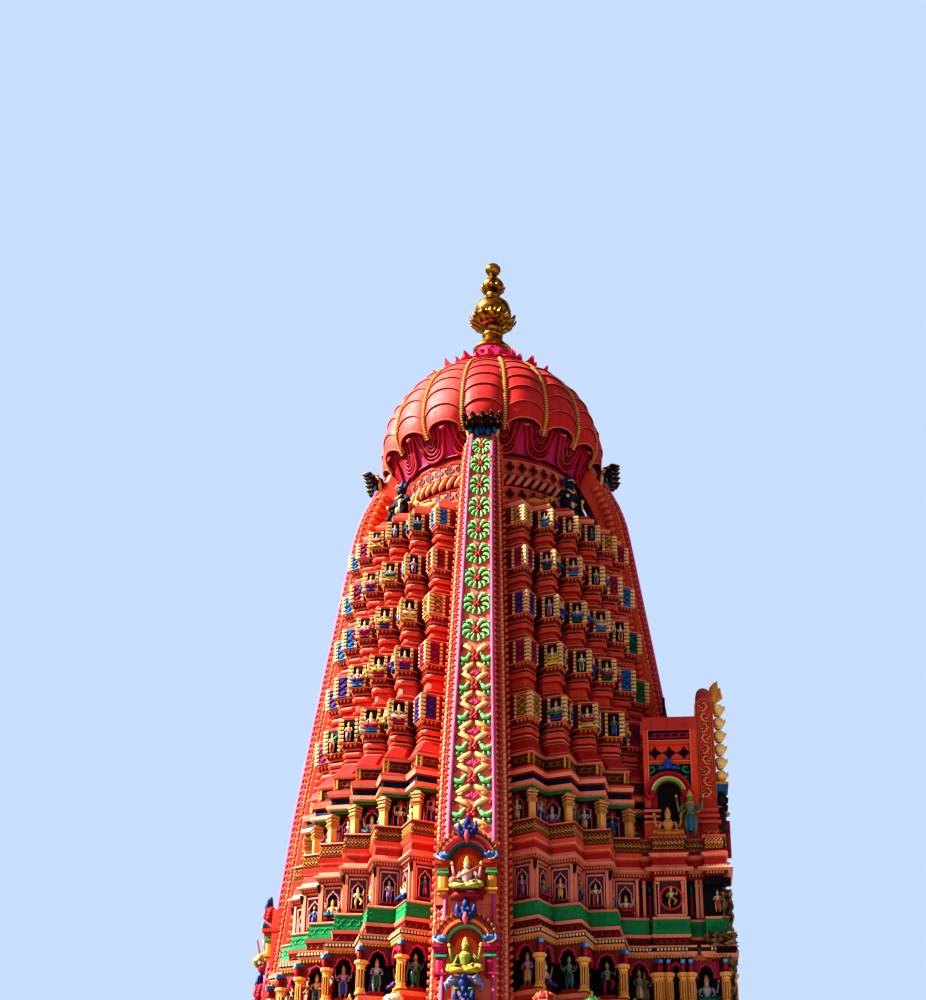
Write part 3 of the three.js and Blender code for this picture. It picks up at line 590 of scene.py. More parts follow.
def niche_frame(half, foot, spring, rise, width, front, foils=0, point=0.0):
    """The moulding that runs up both sides of a niche and round its head."""
    inner = [(-half, foot)] + arch_line(half, spring, rise, foils, point=point) + [(half, foot)]
    outer = (
        [(-half - width, foot)] + arch_line(half + width, spring, rise + width, foils, point=point)
        + [(half + width, foot)])
    return strip(inner, outer, front, 0.02)


def paints(*shades):
    """Several paint colours, one in each row."""
    return np.array([paint(*shade) for shade in shades])


dice = np.random.default_rng(7)
SKINS = paints(
    (250, 216, 178), (240, 196, 150), (196, 204, 226), (214, 170, 196), (250, 226, 190), (90, 120, 176),
    (236, 190, 120), (122, 160, 140))
DRESSES = paints(
    (206, 30, 50), (40, 110, 190), (236, 190, 60), (190, 40, 110), (40, 140, 90), (110, 60, 150),
    (240, 200, 150), (20, 120, 130))


def drawn(palette, count):
    """One paint for each figure, drawn from the palette."""
    return palette[dice.choice(len(palette), count)]


def crowd(cast, places, height, pose="standing"):
    """Figures of one pose in skins and dresses drawn from the palettes."""
    count = len(places)
    place_figures(cast, places, height, drawn(SKINS, count), drawn(DRESSES, count), pose)


def mixed_crowd(cast, places, kinds, *poses):
    """Figures of several poses: each has its name, the kinds of place that it takes, its height."""
    for pose, numbers, height in poses:
        crowd(cast, places[np.isin(kinds, numbers)], height, pose)


def beside(places, x, **move):
    """Places to the left and to the right of the given ones."""
    return np.concatenate([shifted(places, x=side * x, **move) for side in (-1, 1)])


def square_pilaster(cast, places, height, half, paint_of_shaft, paint_of_caps):
    """A square pilaster with a moulded foot and a stepped capital."""
    foot, cap = 0.11 * height, 0.15 * height
    cast.add(slab(half, -half, half, 0, height), paint_of_shaft, places)
    cast.add(gathered(
        slab(half * 1.5, -half * 1.5, half, 0, foot * 0.5),
        slab(half * 1.28, -half * 1.28, half, foot * 0.62, foot),
        slab(half * 1.25, -half * 1.25, half, height - cap, height - cap * 0.76),
        slab(half * 1.4, -half * 1.4, half, height - cap * 0.55, height - cap * 0.3),
        slab(half * 1.7, -half * 1.7, half, height - cap * 0.18, height)), paint_of_caps, places)


wall_ornament = Cast()
for tier_foot, tier_height, tier_radius in ((1.7, 3.3, 4.8), (5.25, 3.35, 4.76)):
    corners = clear_of_porch(star_corners(tier_radius + 0.02, tier_foot))
    square_pilaster(wall_ornament, shifted(corners, y=0.09), tier_height, 0.1, ORANGE, CREAM)
    faces = clear_of_porch(star_faces(tier_radius, tier_foot))
    wall_ornament.add(niche_board(0.15, 0.75, 1.9, 0.2, -0.012, 5, 0.1), BLACK_AND_HOLLOW_SHADE, faces)
    wall_ornament.add(niche_frame(0.15, 0.75, 1.9, 0.2, 0.04, -0.05, 5, 0.1), SALMON, faces)
    wall_ornament.add(
        gathered(slab(0.24, -0.12, 0.02, 0.66, 0.75), slab(0.2, -0.09, 0.02, 0.58, 0.66)), MAGENTA, faces)
    wall_ornament.add(
        gathered(slab(0.24, -0.09, 0.02, 2.35, 2.43), slab(0.2, -0.06, 0.02, 2.43, 2.55)), GREEN, faces)
    wall_ornament.add(blob((0, -0.04, 2.68), (0.1, 0.04, 0.1)), OCHRE, faces)
    crowd(wall_ornament, shifted(faces, y=-0.06, z=0.75), 1.15)
for quarter in (0, 2, 3):
    front = facing(radians(90 * quarter - 90), 5.2)[None]
    for tier_foot in (1.75, 5.4):
        bay = shifted(front, z=tier_foot)
        square_pilaster(wall_ornament, beside(bay, 0.84, y=0.1), 3.15, 0.12, MUSTARD, CREAM)
        wall_ornament.add(niche_board(0.5, 0.55, 2.0, 0.55, -0.02, 5, 0.1), BLACK_AND_HOLLOW_SHADE, bay)
        wall_ornament.add(niche_frame(0.5, 0.55, 2.0, 0.55, 0.08, -0.12, 5, 0.1), MAGENTA, bay)
        wall_ornament.add(niche_frame(0.6, 0.55, 2.0, 0.65, 0.06, -0.08, 5, 0.1), GREEN, bay)
        wall_ornament.add(slab(0.72, -0.3, 0.02, 0.4, 0.55), RED, bay)
        crowd(wall_ornament, shifted(bay, y=-0.15, z=0.55), 1.75, "four arms")
wall_ornament.make("wall_pilasters_and_figures", painted_plaster, "orange_paint")

# Doorway: a moulded stone-shaped frame in plaster round the opening, with a carved lintel
# board over it and a standing doorkeeper on each side.

DOOR_HALF, DOOR_HEAD = 0.65, 2.4


def door_line(out):
    """The line up both sides of the opening and across its head, moved outward."""
    half, head = DOOR_HALF + out, DOOR_HEAD + out
    return [(-half, 0.0), (-half, head), (half, head), (half, 0.0)]


door_ornament = Cast()
door_front = facing(0.0, 5.42, PLINTH_TOP)[None]
door_sides = beside(door_front, 1.72)
for out, width, front, colour in (
        (0.0, 0.07, 0.0, CREAM), (0.08, 0.07, 0.03, MAGENTA), (0.16, 0.08, 0.06, GREEN)):
    rim = strip(door_line(out), door_line(out + width), front - 0.05, front + 0.02)
    door_ornament.add(rim, colour, door_front)
door_ornament.add(niche_board(0.42, 0.3, 2.0, 0.4, 0.08, 5, 0.1), BLACK_AND_HOLLOW_SHADE, door_sides)
door_ornament.add(niche_frame(0.42, 0.3, 2.0, 0.4, 0.07, 0.0, 5, 0.1), SALMON, door_sides)
door_ornament.add(slab(0.5, -0.12, 0.12, 0.0, 0.3), RED, door_sides)
place_figures(
    door_ornament, shifted(door_sides, z=0.3), 1.85, paints((90, 120, 176), (236, 190, 120)),
    paints((206, 30, 50), (40, 140, 90)), "four arms")
door_ornament.add(slab(2.6, -0.02, 0.12, 3.2, 3.34), CREAM, door_front)
door_ornament.add(slab(2.6, 0.0, 0.12, 3.34, 3.9), DARK_RELIEF, door_front)
for x in np.arange(-2.4, 2.5, 0.4):
    door_ornament.add(blob((0, 0, 3.62), (0.15, 0.05, 0.2)), BROWN_GOLD, shifted(door_front, x=x))
door_ornament.make("doorway_frame", painted_plaster, "orange_paint")

# Main eave: the cornice over the sanctum wall, plaster on brick corbels. A hem of hanging
# buds runs under its edge.

dress("main_eave", plaster_material("eave paint", RED, fading=0.4, streaks=0.5))


def hem(cast, runs, shape, colour, pitch, **move):
    """Repeats a small shape along each run of wall, given as places and the run's width."""
    for places, wide in runs:
        count = max(2, round(wide / pitch))
        for i in range(count):
            cast.add(shape, colour, shifted(places, x=(i + 0.5) / count * wide - wide / 2, **move))


def star_runs(radius, clear=clear_of_porch):
    """The faces of the star at one radius, each with its width."""
    return [(clear(star_faces(radius, 0.0)), STAR_FACE * radius)]


BUD = blob((0, 0, 0), (0.034, 0.03, 0.055), 6, 3)
eave_hem = Cast()
hem(eave_hem, star_runs(5.27), BUD, CREAM, 0.095, z=9.3)
hem(eave_hem, star_runs(5.14), BUD, GREEN, 0.07, z=9.12)
eave_hem.make("eave_hem", painted_plaster, "red_paint")

# Fourth storey: the lowest of the tower's figure storeys, plaster over brick. Mustard pillars
# stand on the corners before niches painted black as shade, and little domed kiosks stand on its
# ledge.


def turned_pillar(cast, places, height, radius):
    """A ribbed eight-sided pillar with a ringed foot, a ringed neck and a broad flat capital."""
    foot = [(1.45, 0.0), (1.45, 0.06), (1.12, 0.075), (1.3, 0.12), (1.0, 0.14), (1.16, 0.18), (1.0, 0.2)]
    neck = [
        (1.0, 0.72), (1.18, 0.75), (0.98, 0.78), (1.05, 0.82), (1.3, 0.86), (1.1, 0.885), (1.7, 0.93),
        (1.7, 1.0)]
    for profile, colour in (([(0.86, 0.2), (0.86, 0.72)], RUST), (foot, SHAFT_GOLD), (neck, SHAFT_GOLD)):
        cast.add(turned([(r * radius, z * height) for r, z in profile], 8, pi / 8), colour, places)
    for turn in range(-2, 3):
        x, y = sin(turn * 0.6) * radius, -cos(turn * 0.6) * radius
        cast.add(limb([(x, y, 0.2 * height), (x, y, 0.73 * height)], 0.2 * radius, 4), SHAFT_GOLD, places)


def curled_leaf(size, thick):
    """A comma-shaped leaf of relief."""
    path = size * np.array(
        [(-0.5, 0, -0.3), (-0.1, 0, -0.4), (0.3, 0, -0.1), (0.2, 0, 0.3), (-0.15, 0, 0.3), (-0.15, 0, 0.05)])
    return limb(path, thick * np.array([0.3, 0.9, 1.2, 1.1, 0.8, 0.4]), 4, 0.8)


def scrolls(size, thick):
    """Two comma-shaped leaves that turn about each other."""
    near = curled_leaf(size, thick)
    points = np.asarray(near[0], float) * (-1, 1, -1) + (0.55 * size, 0, 0)
    return gathered(near, (points, near[1]))


def arcade(cast, places, wide, foot, head, colour, figures=0.6):
    """Cusped arches in the pillars' plane over a recess painted black as shade, each with a figure on a seat.
    """
    half, spring, seat = wide * 0.36, head - 0.34, 0.09
    line = arch_line(half, spring, 0.29, 5, 0.14)
    top = [(-wide / 2, spring)] + [(x, head) for x in np.linspace(-wide / 2, wide / 2, len(line) - 2)]
    cast.add(strip(line, top + [(wide / 2, spring)], -0.035, 0.03), colour, places)
    cast.add(
        strip(arch_line(half - 0.03, spring, 0.26, 5, 0.14), line, -0.055, 0.0), paint(222, 50, 110),
        places)
    cast.add(gathered(
        slab(half, -0.02, 0.16, foot, foot + seat / 2), slab(half * 0.75, 0.0, 0.16, foot, foot + seat)),
        RED, places)
    mixed_crowd(
        cast, shifted(places, y=0.05, z=foot + seat), np.arange(len(places)) * 5 % 7,
        ("standing", (0, 1, 2), figures), ("four arms", (3, 4), figures), ("seated", 5, figures * 1.25),
        ("dancing", 6, figures))


def brackets(cast, corners, low, high):
    """Square blue blocks on crimson buds, one over each pillar."""
    tall = high - low
    cast.add(slab(0.045, -0.075, 0.1, high - 0.13, high - 0.04), BLUE, corners)
    cast.add(slab(0.035, -0.108, 0.1, high - 0.12, high - 0.06), SKY, corners)
    cast.add(slab(0.05, -0.03, 0.1, low, high - 0.1), DEEP_RED, corners)
    cast.add(limb(
        [(0, -0.03, low), (0, -0.05, low + tall * 0.25), (0, -0.05, high - 0.13)], (0.025, 0.045, 0.035),
        6), CRIMSON, corners)


def cornice_teeth(cast, runs, z):
    """Small cream teeth on a dark green strip."""
    for places, wide in runs:
        cast.add(slab(wide / 2, -0.006, 0.02, z - 0.034, z + 0.034), BOTTLE_GREEN, places)
    hem(cast, runs, slab(0.019, -0.022, 0.02, -0.024, 0.024), CREAM, 0.066, z=z)


RUST = paint(168, 84, 30)
SHAFT_GOLD = paint(248, 190, 98)
PALE_PINK = paint(244, 150, 160)
SPANDREL = paint(150, 52, 34)
SKY = paint(110, 190, 240)
BOTTLE_GREEN = paint(20, 62, 40)
# Near black on the back walls of the storeys' recesses: painted shade.
RECESS_SHADE_BLACK = paint(40, 12, 14)
GILT_DROP = blob((0, 0, 0), (0.026, 0.022, 0.04), 4, 3)
D_LEVELS = (
    (9.5, 4.9, RED), (9.72, 4.9, SALMON), (9.82, 4.85, DEEP_RED), (9.86, 4.5, RECESS_SHADE_BLACK),
    (10.74, 4.5, RUST), (10.75, 4.68, BROWN_GOLD), (10.88, 4.76, SALMON), (10.93, 4.78, RED),
    (11.0, 4.56, RED), (11.3, 4.56, ORANGE))
C_LEVELS = (
    (11.3, 4.44, ORANGE), (11.42, 4.4, SALMON), (11.5, 4.44, RED), (11.55, 4.0, RECESS_SHADE_BLACK),
    (12.44, 4.0, RUST), (12.45, 4.34, SALMON), (12.5, 4.42, SALMON), (12.54, 4.42, BOTTLE_GREEN),
    (12.62, 4.42, SALMON), (12.66, 4.43, RED), (12.68, 4.21, DEEP_RED), (12.84, 4.26, SALMON),
    (12.9, 4.3, RED))
B_LEVELS = (
    (12.9, 4.22, GREEN), (12.905, 4.24, GREEN), (13.2, 4.21, SALMON), (13.22, 4.25, SALMON),
    (13.25, 4.22, RED), (13.27, 3.99, LILAC), (14.03, 3.97, SALMON), (14.06, 4.03, RED),
    (14.08, 4.04, DEEP_RED), (14.14, 4.07, SALMON), (14.16, 4.17, SALMON), (14.2, 4.16, RED),
    (14.22, 4.08, SALMON), (14.28, 4.05, RED), (14.4, 4.03, RED))
A_LEVELS = (
    (14.4, 4.02, ORANGE), (14.44, 4.02, SALMON), (14.47, 4.07, ORANGE), (14.545, 4.12, RED),
    (14.57, 4.05, DARK_RELIEF), (14.83, 4.03, RED), (14.85, 4.08, SALMON), (14.88, 4.07, RED),
    (14.89, 3.6, RECESS_SHADE_BLACK), (15.51, 3.6, DEEP_RED), (15.52, 3.87, GREEN), (15.59, 3.86, SALMON),
    (15.61, 3.97, SALMON), (15.69, 3.95, NIGHT_BLUE), (15.7, 3.85, NIGHT_BLUE), (15.84, 3.85, RED),
    (15.86, 3.92, SALMON), (15.93, 3.96, ORANGE), (15.98, 3.95, RED), (16.06, 3.78, DARK_RELIEF),
    (16.28, 3.78, SALMON), (16.31, 3.87, RED), (16.36, 3.85, RED))


def storey_skin(cast, levels, ring=star_ring):
    """The moulded body of a storey."""
    star_skin(cast, [(z, r, 0.0, c) for z, r, c in levels], ring)


def hem_fourth(cast, runs, hem_at, teeth_at):
    """The gilt hem and the teeth of the fourth storey."""
    hem(cast, runs(hem_at), GILT_DROP, GOLD_PAINT, 0.06, z=10.74)
    cornice_teeth(cast, runs(teeth_at), 10.83)


storey_d = Cast()
storey_skin(storey_d, D_LEVELS)
D_FOOT, D_HEAD, D_RADIUS = 9.86, 10.72, 4.66
arcade(storey_d, clear_of_porch(star_faces(D_RADIUS, 0.0)), STAR_FACE * D_RADIUS, D_FOOT, D_HEAD, SPANDREL)
d_corners = clear_of_porch(star_corners(4.72, D_FOOT))
turned_pillar(storey_d, shifted(d_corners, y=0.02), 0.56, 0.08)
brackets(storey_d, d_corners, 0.56, 0.86)
hem_fourth(storey_d, star_runs, 4.69, 4.75)
kiosks = clear_of_porch(star_corners(4.66, 10.98))
KIOSK_PAINTS = paints((196, 30, 56), (30, 150, 90), (236, 190, 50), (196, 30, 56), (244, 222, 196))
posts = [limb([(x, y, 0), (x, y, 0.13)], 0.018, 5) for x in (-0.13, 0.13) for y in (-0.1, 0.12)]
storey_d.add(gathered(*posts), CREAM, kiosks)
storey_d.add(turned([(0.2, 0.12), (0.235, 0.15), (0.235, 0.175), (0.19, 0.2)], 8), SALMON, kiosks)
kiosk_dome = turned([(0.17, 0.19), (0.2, 0.24), (0.185, 0.3), (0.12, 0.35), (0.05, 0.375)], 12)
storey_d.add(kiosk_dome, KIOSK_PAINTS[np.arange(len(kiosks)) % 5], kiosks, True)
ribs = [limb([
    (0.175 * cos(t), 0.175 * sin(t), 0.2), (0.205 * cos(t), 0.205 * sin(t), 0.25),
    (0.12 * cos(t), 0.12 * sin(t), 0.36)], 0.012, 4) for t in np.arange(8) * pi / 4]
storey_d.add(gathered(*ribs), GOLD_PAINT, kiosks)
storey_d.add(
    turned([(0.035, 0.37), (0.05, 0.4), (0.02, 0.42), (0.03, 0.445), (0.005, 0.49)], 7), GOLD_PAINT, kiosks)
storey_d.make("fourth_storey", painted_plaster, "orange_paint", "storey_d")

# Third storey: the same build as the fourth, with round-headed pink arches in front of deep
# recesses painted black as shade, a gilt wavy hem, green-backed teeth and a dark carved frieze above.


def hem_third(cast, runs, hem_at, teeth_at, frieze_at):
    """The gilt hem, the teeth and the carved frieze of the third storey."""
    hem(cast, runs(hem_at), GILT_DROP, GOLD_PAINT, 0.06, z=12.46)
    cornice_teeth(cast, runs(teeth_at), 12.58)
    hem(cast, runs(frieze_at), scrolls(0.1, 0.011), paint(206, 96, 84), 0.13, z=12.765)


storey_c = Cast()
storey_skin(storey_c, C_LEVELS)
C_HEAD, C_RADIUS = 12.44, 4.3
arcade(storey_c, clear_of_porch(star_faces(C_RADIUS, 0.0)), STAR_FACE * C_RADIUS, 11.52, C_HEAD, SPANDREL)
c_corners = clear_of_porch(star_corners(4.38, 11.52))
turned_pillar(storey_c, shifted(c_corners, y=0.03), 0.62, 0.078)
brackets(storey_c, c_corners, 0.62, 0.93)
hem_third(storey_c, star_runs, 4.39, 4.43, 4.235)
storey_c.make("third_storey", painted_plaster, "orange_paint", "storey_c")

# Second storey: a green carved parapet, and over it lilac panels in salmon frames. Each panel
# has a pale pointed arch with foils round a dark niche and its figure.


PANEL_FOOT, PANEL_HEAD = 13.28, 14.04


def framed_faces(cast, faces, wide):
    """Double salmon posts, a lilac panel between them, a foiled arch and a figure."""
    edge, foot = wide / 2, PANEL_FOOT
    cast.add(gathered(
        pair(block(edge - 0.055, edge, -0.05, 0.03, foot, PANEL_HEAD)),
        pair(block(edge - 0.1, edge - 0.072, -0.03, 0.02, foot + 0.04, 13.98)),
        block(-edge + 0.07, edge - 0.07, -0.03, 0.02, 13.95, 13.98)), SALMON, faces)
    # The thin near-black strip between the double posts is painted shade in the gap.
    cast.add(pair(block(edge - 0.074, edge - 0.053, -0.012, 0.02, foot, 14.0)), BLACK_AND_HOLLOW_SHADE, faces)
    cast.add(
        gathered(slab(edge, -0.07, 0.02, 13.24, 13.29), slab(wide * 0.26, -0.08, 0.02, 13.33, 13.36)),
        CRIMSON, faces)
    half = wide * 0.22
    cast.add(niche_board(half, 13.36, 13.7, 0.14, -0.012, 5, 0.3), BLACK_AND_HOLLOW_SHADE, faces)
    cast.add(niche_frame(half, 13.36, 13.7, 0.14, 0.024, -0.045, 5, 0.3), PALE_PINK, faces)
    mixed_crowd(
        cast, shifted(faces, y=-0.04, z=13.37), np.arange(len(faces)) * 3 % 5, ("standing", (0, 1), 0.41),
        ("four arms", 2, 0.41), ("seated", 3, 0.52), ("dancing", 4, 0.41))


def hem_second(cast, runs, parapet_at, teeth_at):
    """The carving on the green parapet and the salmon teeth of the second storey."""
    hem(cast, runs(parapet_at), scrolls(0.16, 0.012), paint(40, 176, 104), 0.17, z=13.06)
    hem(cast, runs(teeth_at), slab(0.018, -0.02, 0.02, -0.024, 0.024), paint(240, 150, 120), 0.06, z=14.11)


storey_b = Cast()
storey_skin(storey_b, B_LEVELS)
framed_faces(storey_b, clear_of_porch(star_faces(3.985, 0.0)), STAR_FACE * 3.985)
b_corners = clear_of_porch(star_corners(4.0, 0.0))
storey_b.add(
    limb([(0, 0, 13.86), (0, -0.03, 13.92), (0, -0.05, 14.03)], (0.012, 0.035, 0.04), 6), BLACK_AND_HOLLOW_SHADE, b_corners)
hem_second(storey_b, star_runs, 4.225, 4.06)
storey_b.make("second_storey", painted_plaster, "orange_paint", "storey_b")

# First storey, under the shrine rows: a balcony with carved ochre panels, gold pillars with
# stacked caps on the corners, standing figures under cusped arches, and four ledges over them.


def gold_pillars(cast, places):
    """Square gold pillars with three stacked cap slabs."""
    half = 0.062
    square_pilaster(cast, places, 0.42, half, SHAFT_GOLD, BUFF)
    cast.add(slab(half, -half, 0.12, 0.4, 0.64), SALMON, places)
    slabs = [
        block(-half - s, half + s, -half - s, 0.1, z, z + 0.028)
        for s, z in ((0.018, 0.44), (0.032, 0.5), (0.046, 0.56))]
    cast.add(gathered(*slabs), BUFF, places)


def carve_balcony(cast, runs, reach):
    """Close gold-brown scrollwork on the balcony."""
    for share, colour in ((0.0, paint(228, 172, 98)), (0.5, paint(214, 140, 70))):
        hem(
            cast, runs(reach), PANEL_CURL if share else mirrored(PANEL_CURL), colour, 0.072,
            z=14.7 - 0.02 * share)


PANEL_CURL = gathered(limb(
    [(0.04, 0, -0.11), (-0.03, 0, -0.07), (0.04, 0, -0.01), (-0.03, 0, 0.05), (0.03, 0, 0.11)],
    (0.008, 0.015, 0.016, 0.015, 0.008), 3, 1.2), block(-0.036, -0.014, -0.016, 0.0, -0.016, 0.016))
storey_a = Cast()
storey_skin(storey_a, A_LEVELS)
a_faces = clear_of_block(star_faces(3.66, 0.0))
gold_pillars(storey_a, shifted(clear_of_block(star_corners(3.9, 14.88)), y=0.1))
storey_a.add(niche_frame(0.15, 14.88, 15.22, 0.18, 0.024, -0.09, 5, 0.1), paint(150, 20, 50), a_faces)
storey_a.add(niche_frame(0.135, 14.88, 15.22, 0.165, 0.012, -0.1, 5, 0.1), PALE_PINK, a_faces)
fleur = gathered(
    limb([(0, -0.1, 15.38), (0, -0.11, 15.5)], (0.03, 0.008), 5),
    pair(limb([(0.01, -0.1, 15.4), (0.055, -0.11, 15.42), (0.07, -0.11, 15.46)], (0.022, 0.018, 0.006), 5)))
storey_a.add(fleur, paint(206, 40, 90), a_faces)
for side in (-1, 1):
    ends = clear_of_block(star_faces(3.72, 14.88, sides=(side,)))
    square_pilaster(storey_a, shifted(ends, x=side * 0.19), 0.6, 0.026, SHAFT_GOLD, OCHRE)
    ends = clear_of_block(star_faces(3.79, 0.0, sides=(side,)))
    frieze_end = slab(0.022, -0.03, 0.02, 16.06, 16.29)
    storey_a.add(frieze_end, OCHRE, shifted(ends, x=-side * 0.19))
hem(storey_a, star_runs(3.785, clear_of_block), scrolls(0.13, 0.015), BROWN_GOLD, 0.15, z=16.17)
mixed_crowd(
    storey_a, shifted(a_faces, y=-0.1, z=14.9), np.arange(len(a_faces)) * 7 % 5, ("standing", (0, 1), 0.48),
    ("four arms", (2, 3), 0.48), ("seated", 4, 0.6))
carve_balcony(storey_a, lambda at: star_runs(at, lambda places: clear_of_porch(places, half=2.4)), 4.05)
storey_a.make("first_storey", painted_plaster, "orange_paint", "storey_a")

# Shrine rows: five rows of little square shrines set cornerwise, cast in plaster and painted.
# Each stands on a moulded stem, has stacked cushion blocks at its edges, a hem of petals below,
# and on each face either a figure before a niche painted near black as shade, or a pierced
# coloured panel on a darker ground that is painted shade. The stem's recessed courses are
# painted dark red as shade.

SHRINE_ROWS = (
    (17.08, 17.62, 3.72, 16.36, 3.82), (18.35, 18.86, 3.55, 17.62, 3.72), (19.5, 20.0, 3.42, 18.86, 3.55),
    (20.63, 21.1, 3.3, 20.0, 3.42), (21.72, 22.13, 3.19, 21.1, 3.3))
PURPLE = paint(110, 60, 170)
SKY_BLUE = paint(52, 150, 226)
VIOLET_RED = paint(200, 30, 110)
YELLOW = paint(250, 222, 90)
LEAF_GREEN = paint(20, 110, 60)
RIGHT_OF_BAND = (
    {0: OCHRE, 4: VIOLET_RED, 5: VIOLET_RED}, {0: VIOLET_RED, 4: SKY_BLUE, 5: GREEN}, {0: PURPLE, 5: TEAL},
    {0: VIOLET_RED, 4: MAGENTA, 5: SKY_BLUE}, {0: OCHRE, 4: OCHRE, 5: MAGENTA})
LEFT_OF_BAND = (
    {5: PURPLE, 0: VIOLET_RED}, {5: VIOLET_RED, 1: PURPLE, 0: PURPLE}, {5: OCHRE, 1: SKY_BLUE, 0: SKY_BLUE},
    {5: CRIMSON, 1: MAGENTA, 0: SKY_BLUE}, {5: SKY_BLUE, 1: VIOLET_RED, 0: SKY_BLUE})
SEAT_PAINTS = (None, PURPLE, SKY_BLUE, None, LEAF_GREEN, YELLOW, VIOLET_RED, None, SKY_BLUE)


def cushion(x0, x1, z0, z1, front):
    """A block with a rounded front, as the stacked edge blocks are."""
    edge = [
        (0.03, z0), (front * 0.4, z0), (front, z0 + 0.35 * (z1 - z0)), (front, z1 - 0.3 * (z1 - z0)),
        (front * 0.4, z1), (0.03, z1)]
    points = [(x, y, z) for x in (x0, x1) for y, z in edge]
    n = len(edge)
    faces = [tuple(reversed(range(n))), tuple(range(n, 2 * n))]
    faces += [(i, i + 1, n + i + 1, n + i) for i in range(n - 1)]
    return points, turned_over(faces)


def pierced_panel(wide, tall):
    """The raised lattice of a coloured panel: crossing bars in a frame."""
    bars = []
    for z in np.linspace(-0.5, 0.5, 4)[:-1]:
        low, high = tall * z, tall * (z + 1 / 3)
        bars.append(limb([(-wide / 2, 0, low), (wide / 2, 0, high)], 0.011, 4))
        bars.append(limb([(wide / 2, 0, low), (-wide / 2, 0, high)], 0.011, 4))
        bars.append(blob((0, -0.012, (low + high) / 2), (0.026, 0.014, 0.026), 6, 3))
    bars.append(slab(wide / 2, -0.014, 0.02, -tall / 2, -tall / 2 + 0.02))
    bars.append(slab(wide / 2, -0.014, 0.02, tall / 2 - 0.02, tall / 2))
    return gathered(*bars)


GROOVE = 0.105


def column_ring(radius, z, ease=0.0):
    """The plan of the rows: every corner is a little tower of its own beside dark grooves."""
    ring = []
    for quarter in range(4):
        for column in range(-1, 6):
            groove = radians(90 * quarter - 90 + 22.5) + column * STAR_STEP
            inner = inner_corner(radius, groove)
            deep = inner_corner(radius - 0.24, groove)
            for side, corner in ((-1, groove - STAR_STEP / 2), (1, groove + STAR_STEP / 2)):
                point = np.array([cos(corner), sin(corner)]) * radius
                way = (point - inner) / np.linalg.norm(point - inner)
                edge, eased = inner + way * GROOVE, point - way * max(ease, 0.004)
                ends = {
                    -1: [] if column < 0 else [eased, edge, deep],
                    1: [] if column > 4 else [edge, eased]}[side]
                if column < 0 and side > 0:
                    ends = [inner, edge, eased]
                if column > 4 and side < 0:
                    ends = [eased, edge, inner]
                ring += [(x, y, z) for x, y in ends]
    return ring


def zigzag(wide, tall, count):
    """A hem of hanging points, with its front ridge in the middle of each."""
    step, points, faces = wide / count, [], []
    for i in range(count):
        x = -wide / 2 + i * step
        n = len(points)
        points += [(x, 0, tall), (x + step, 0, tall), (x + step / 2, -0.012, 0), (x + step / 2, -0.03, tall)]
        faces += [(n, n + 3, n + 2), (n + 3, n + 1, n + 2), (n, n + 1, n + 3)]
    return points, turned_over(faces)


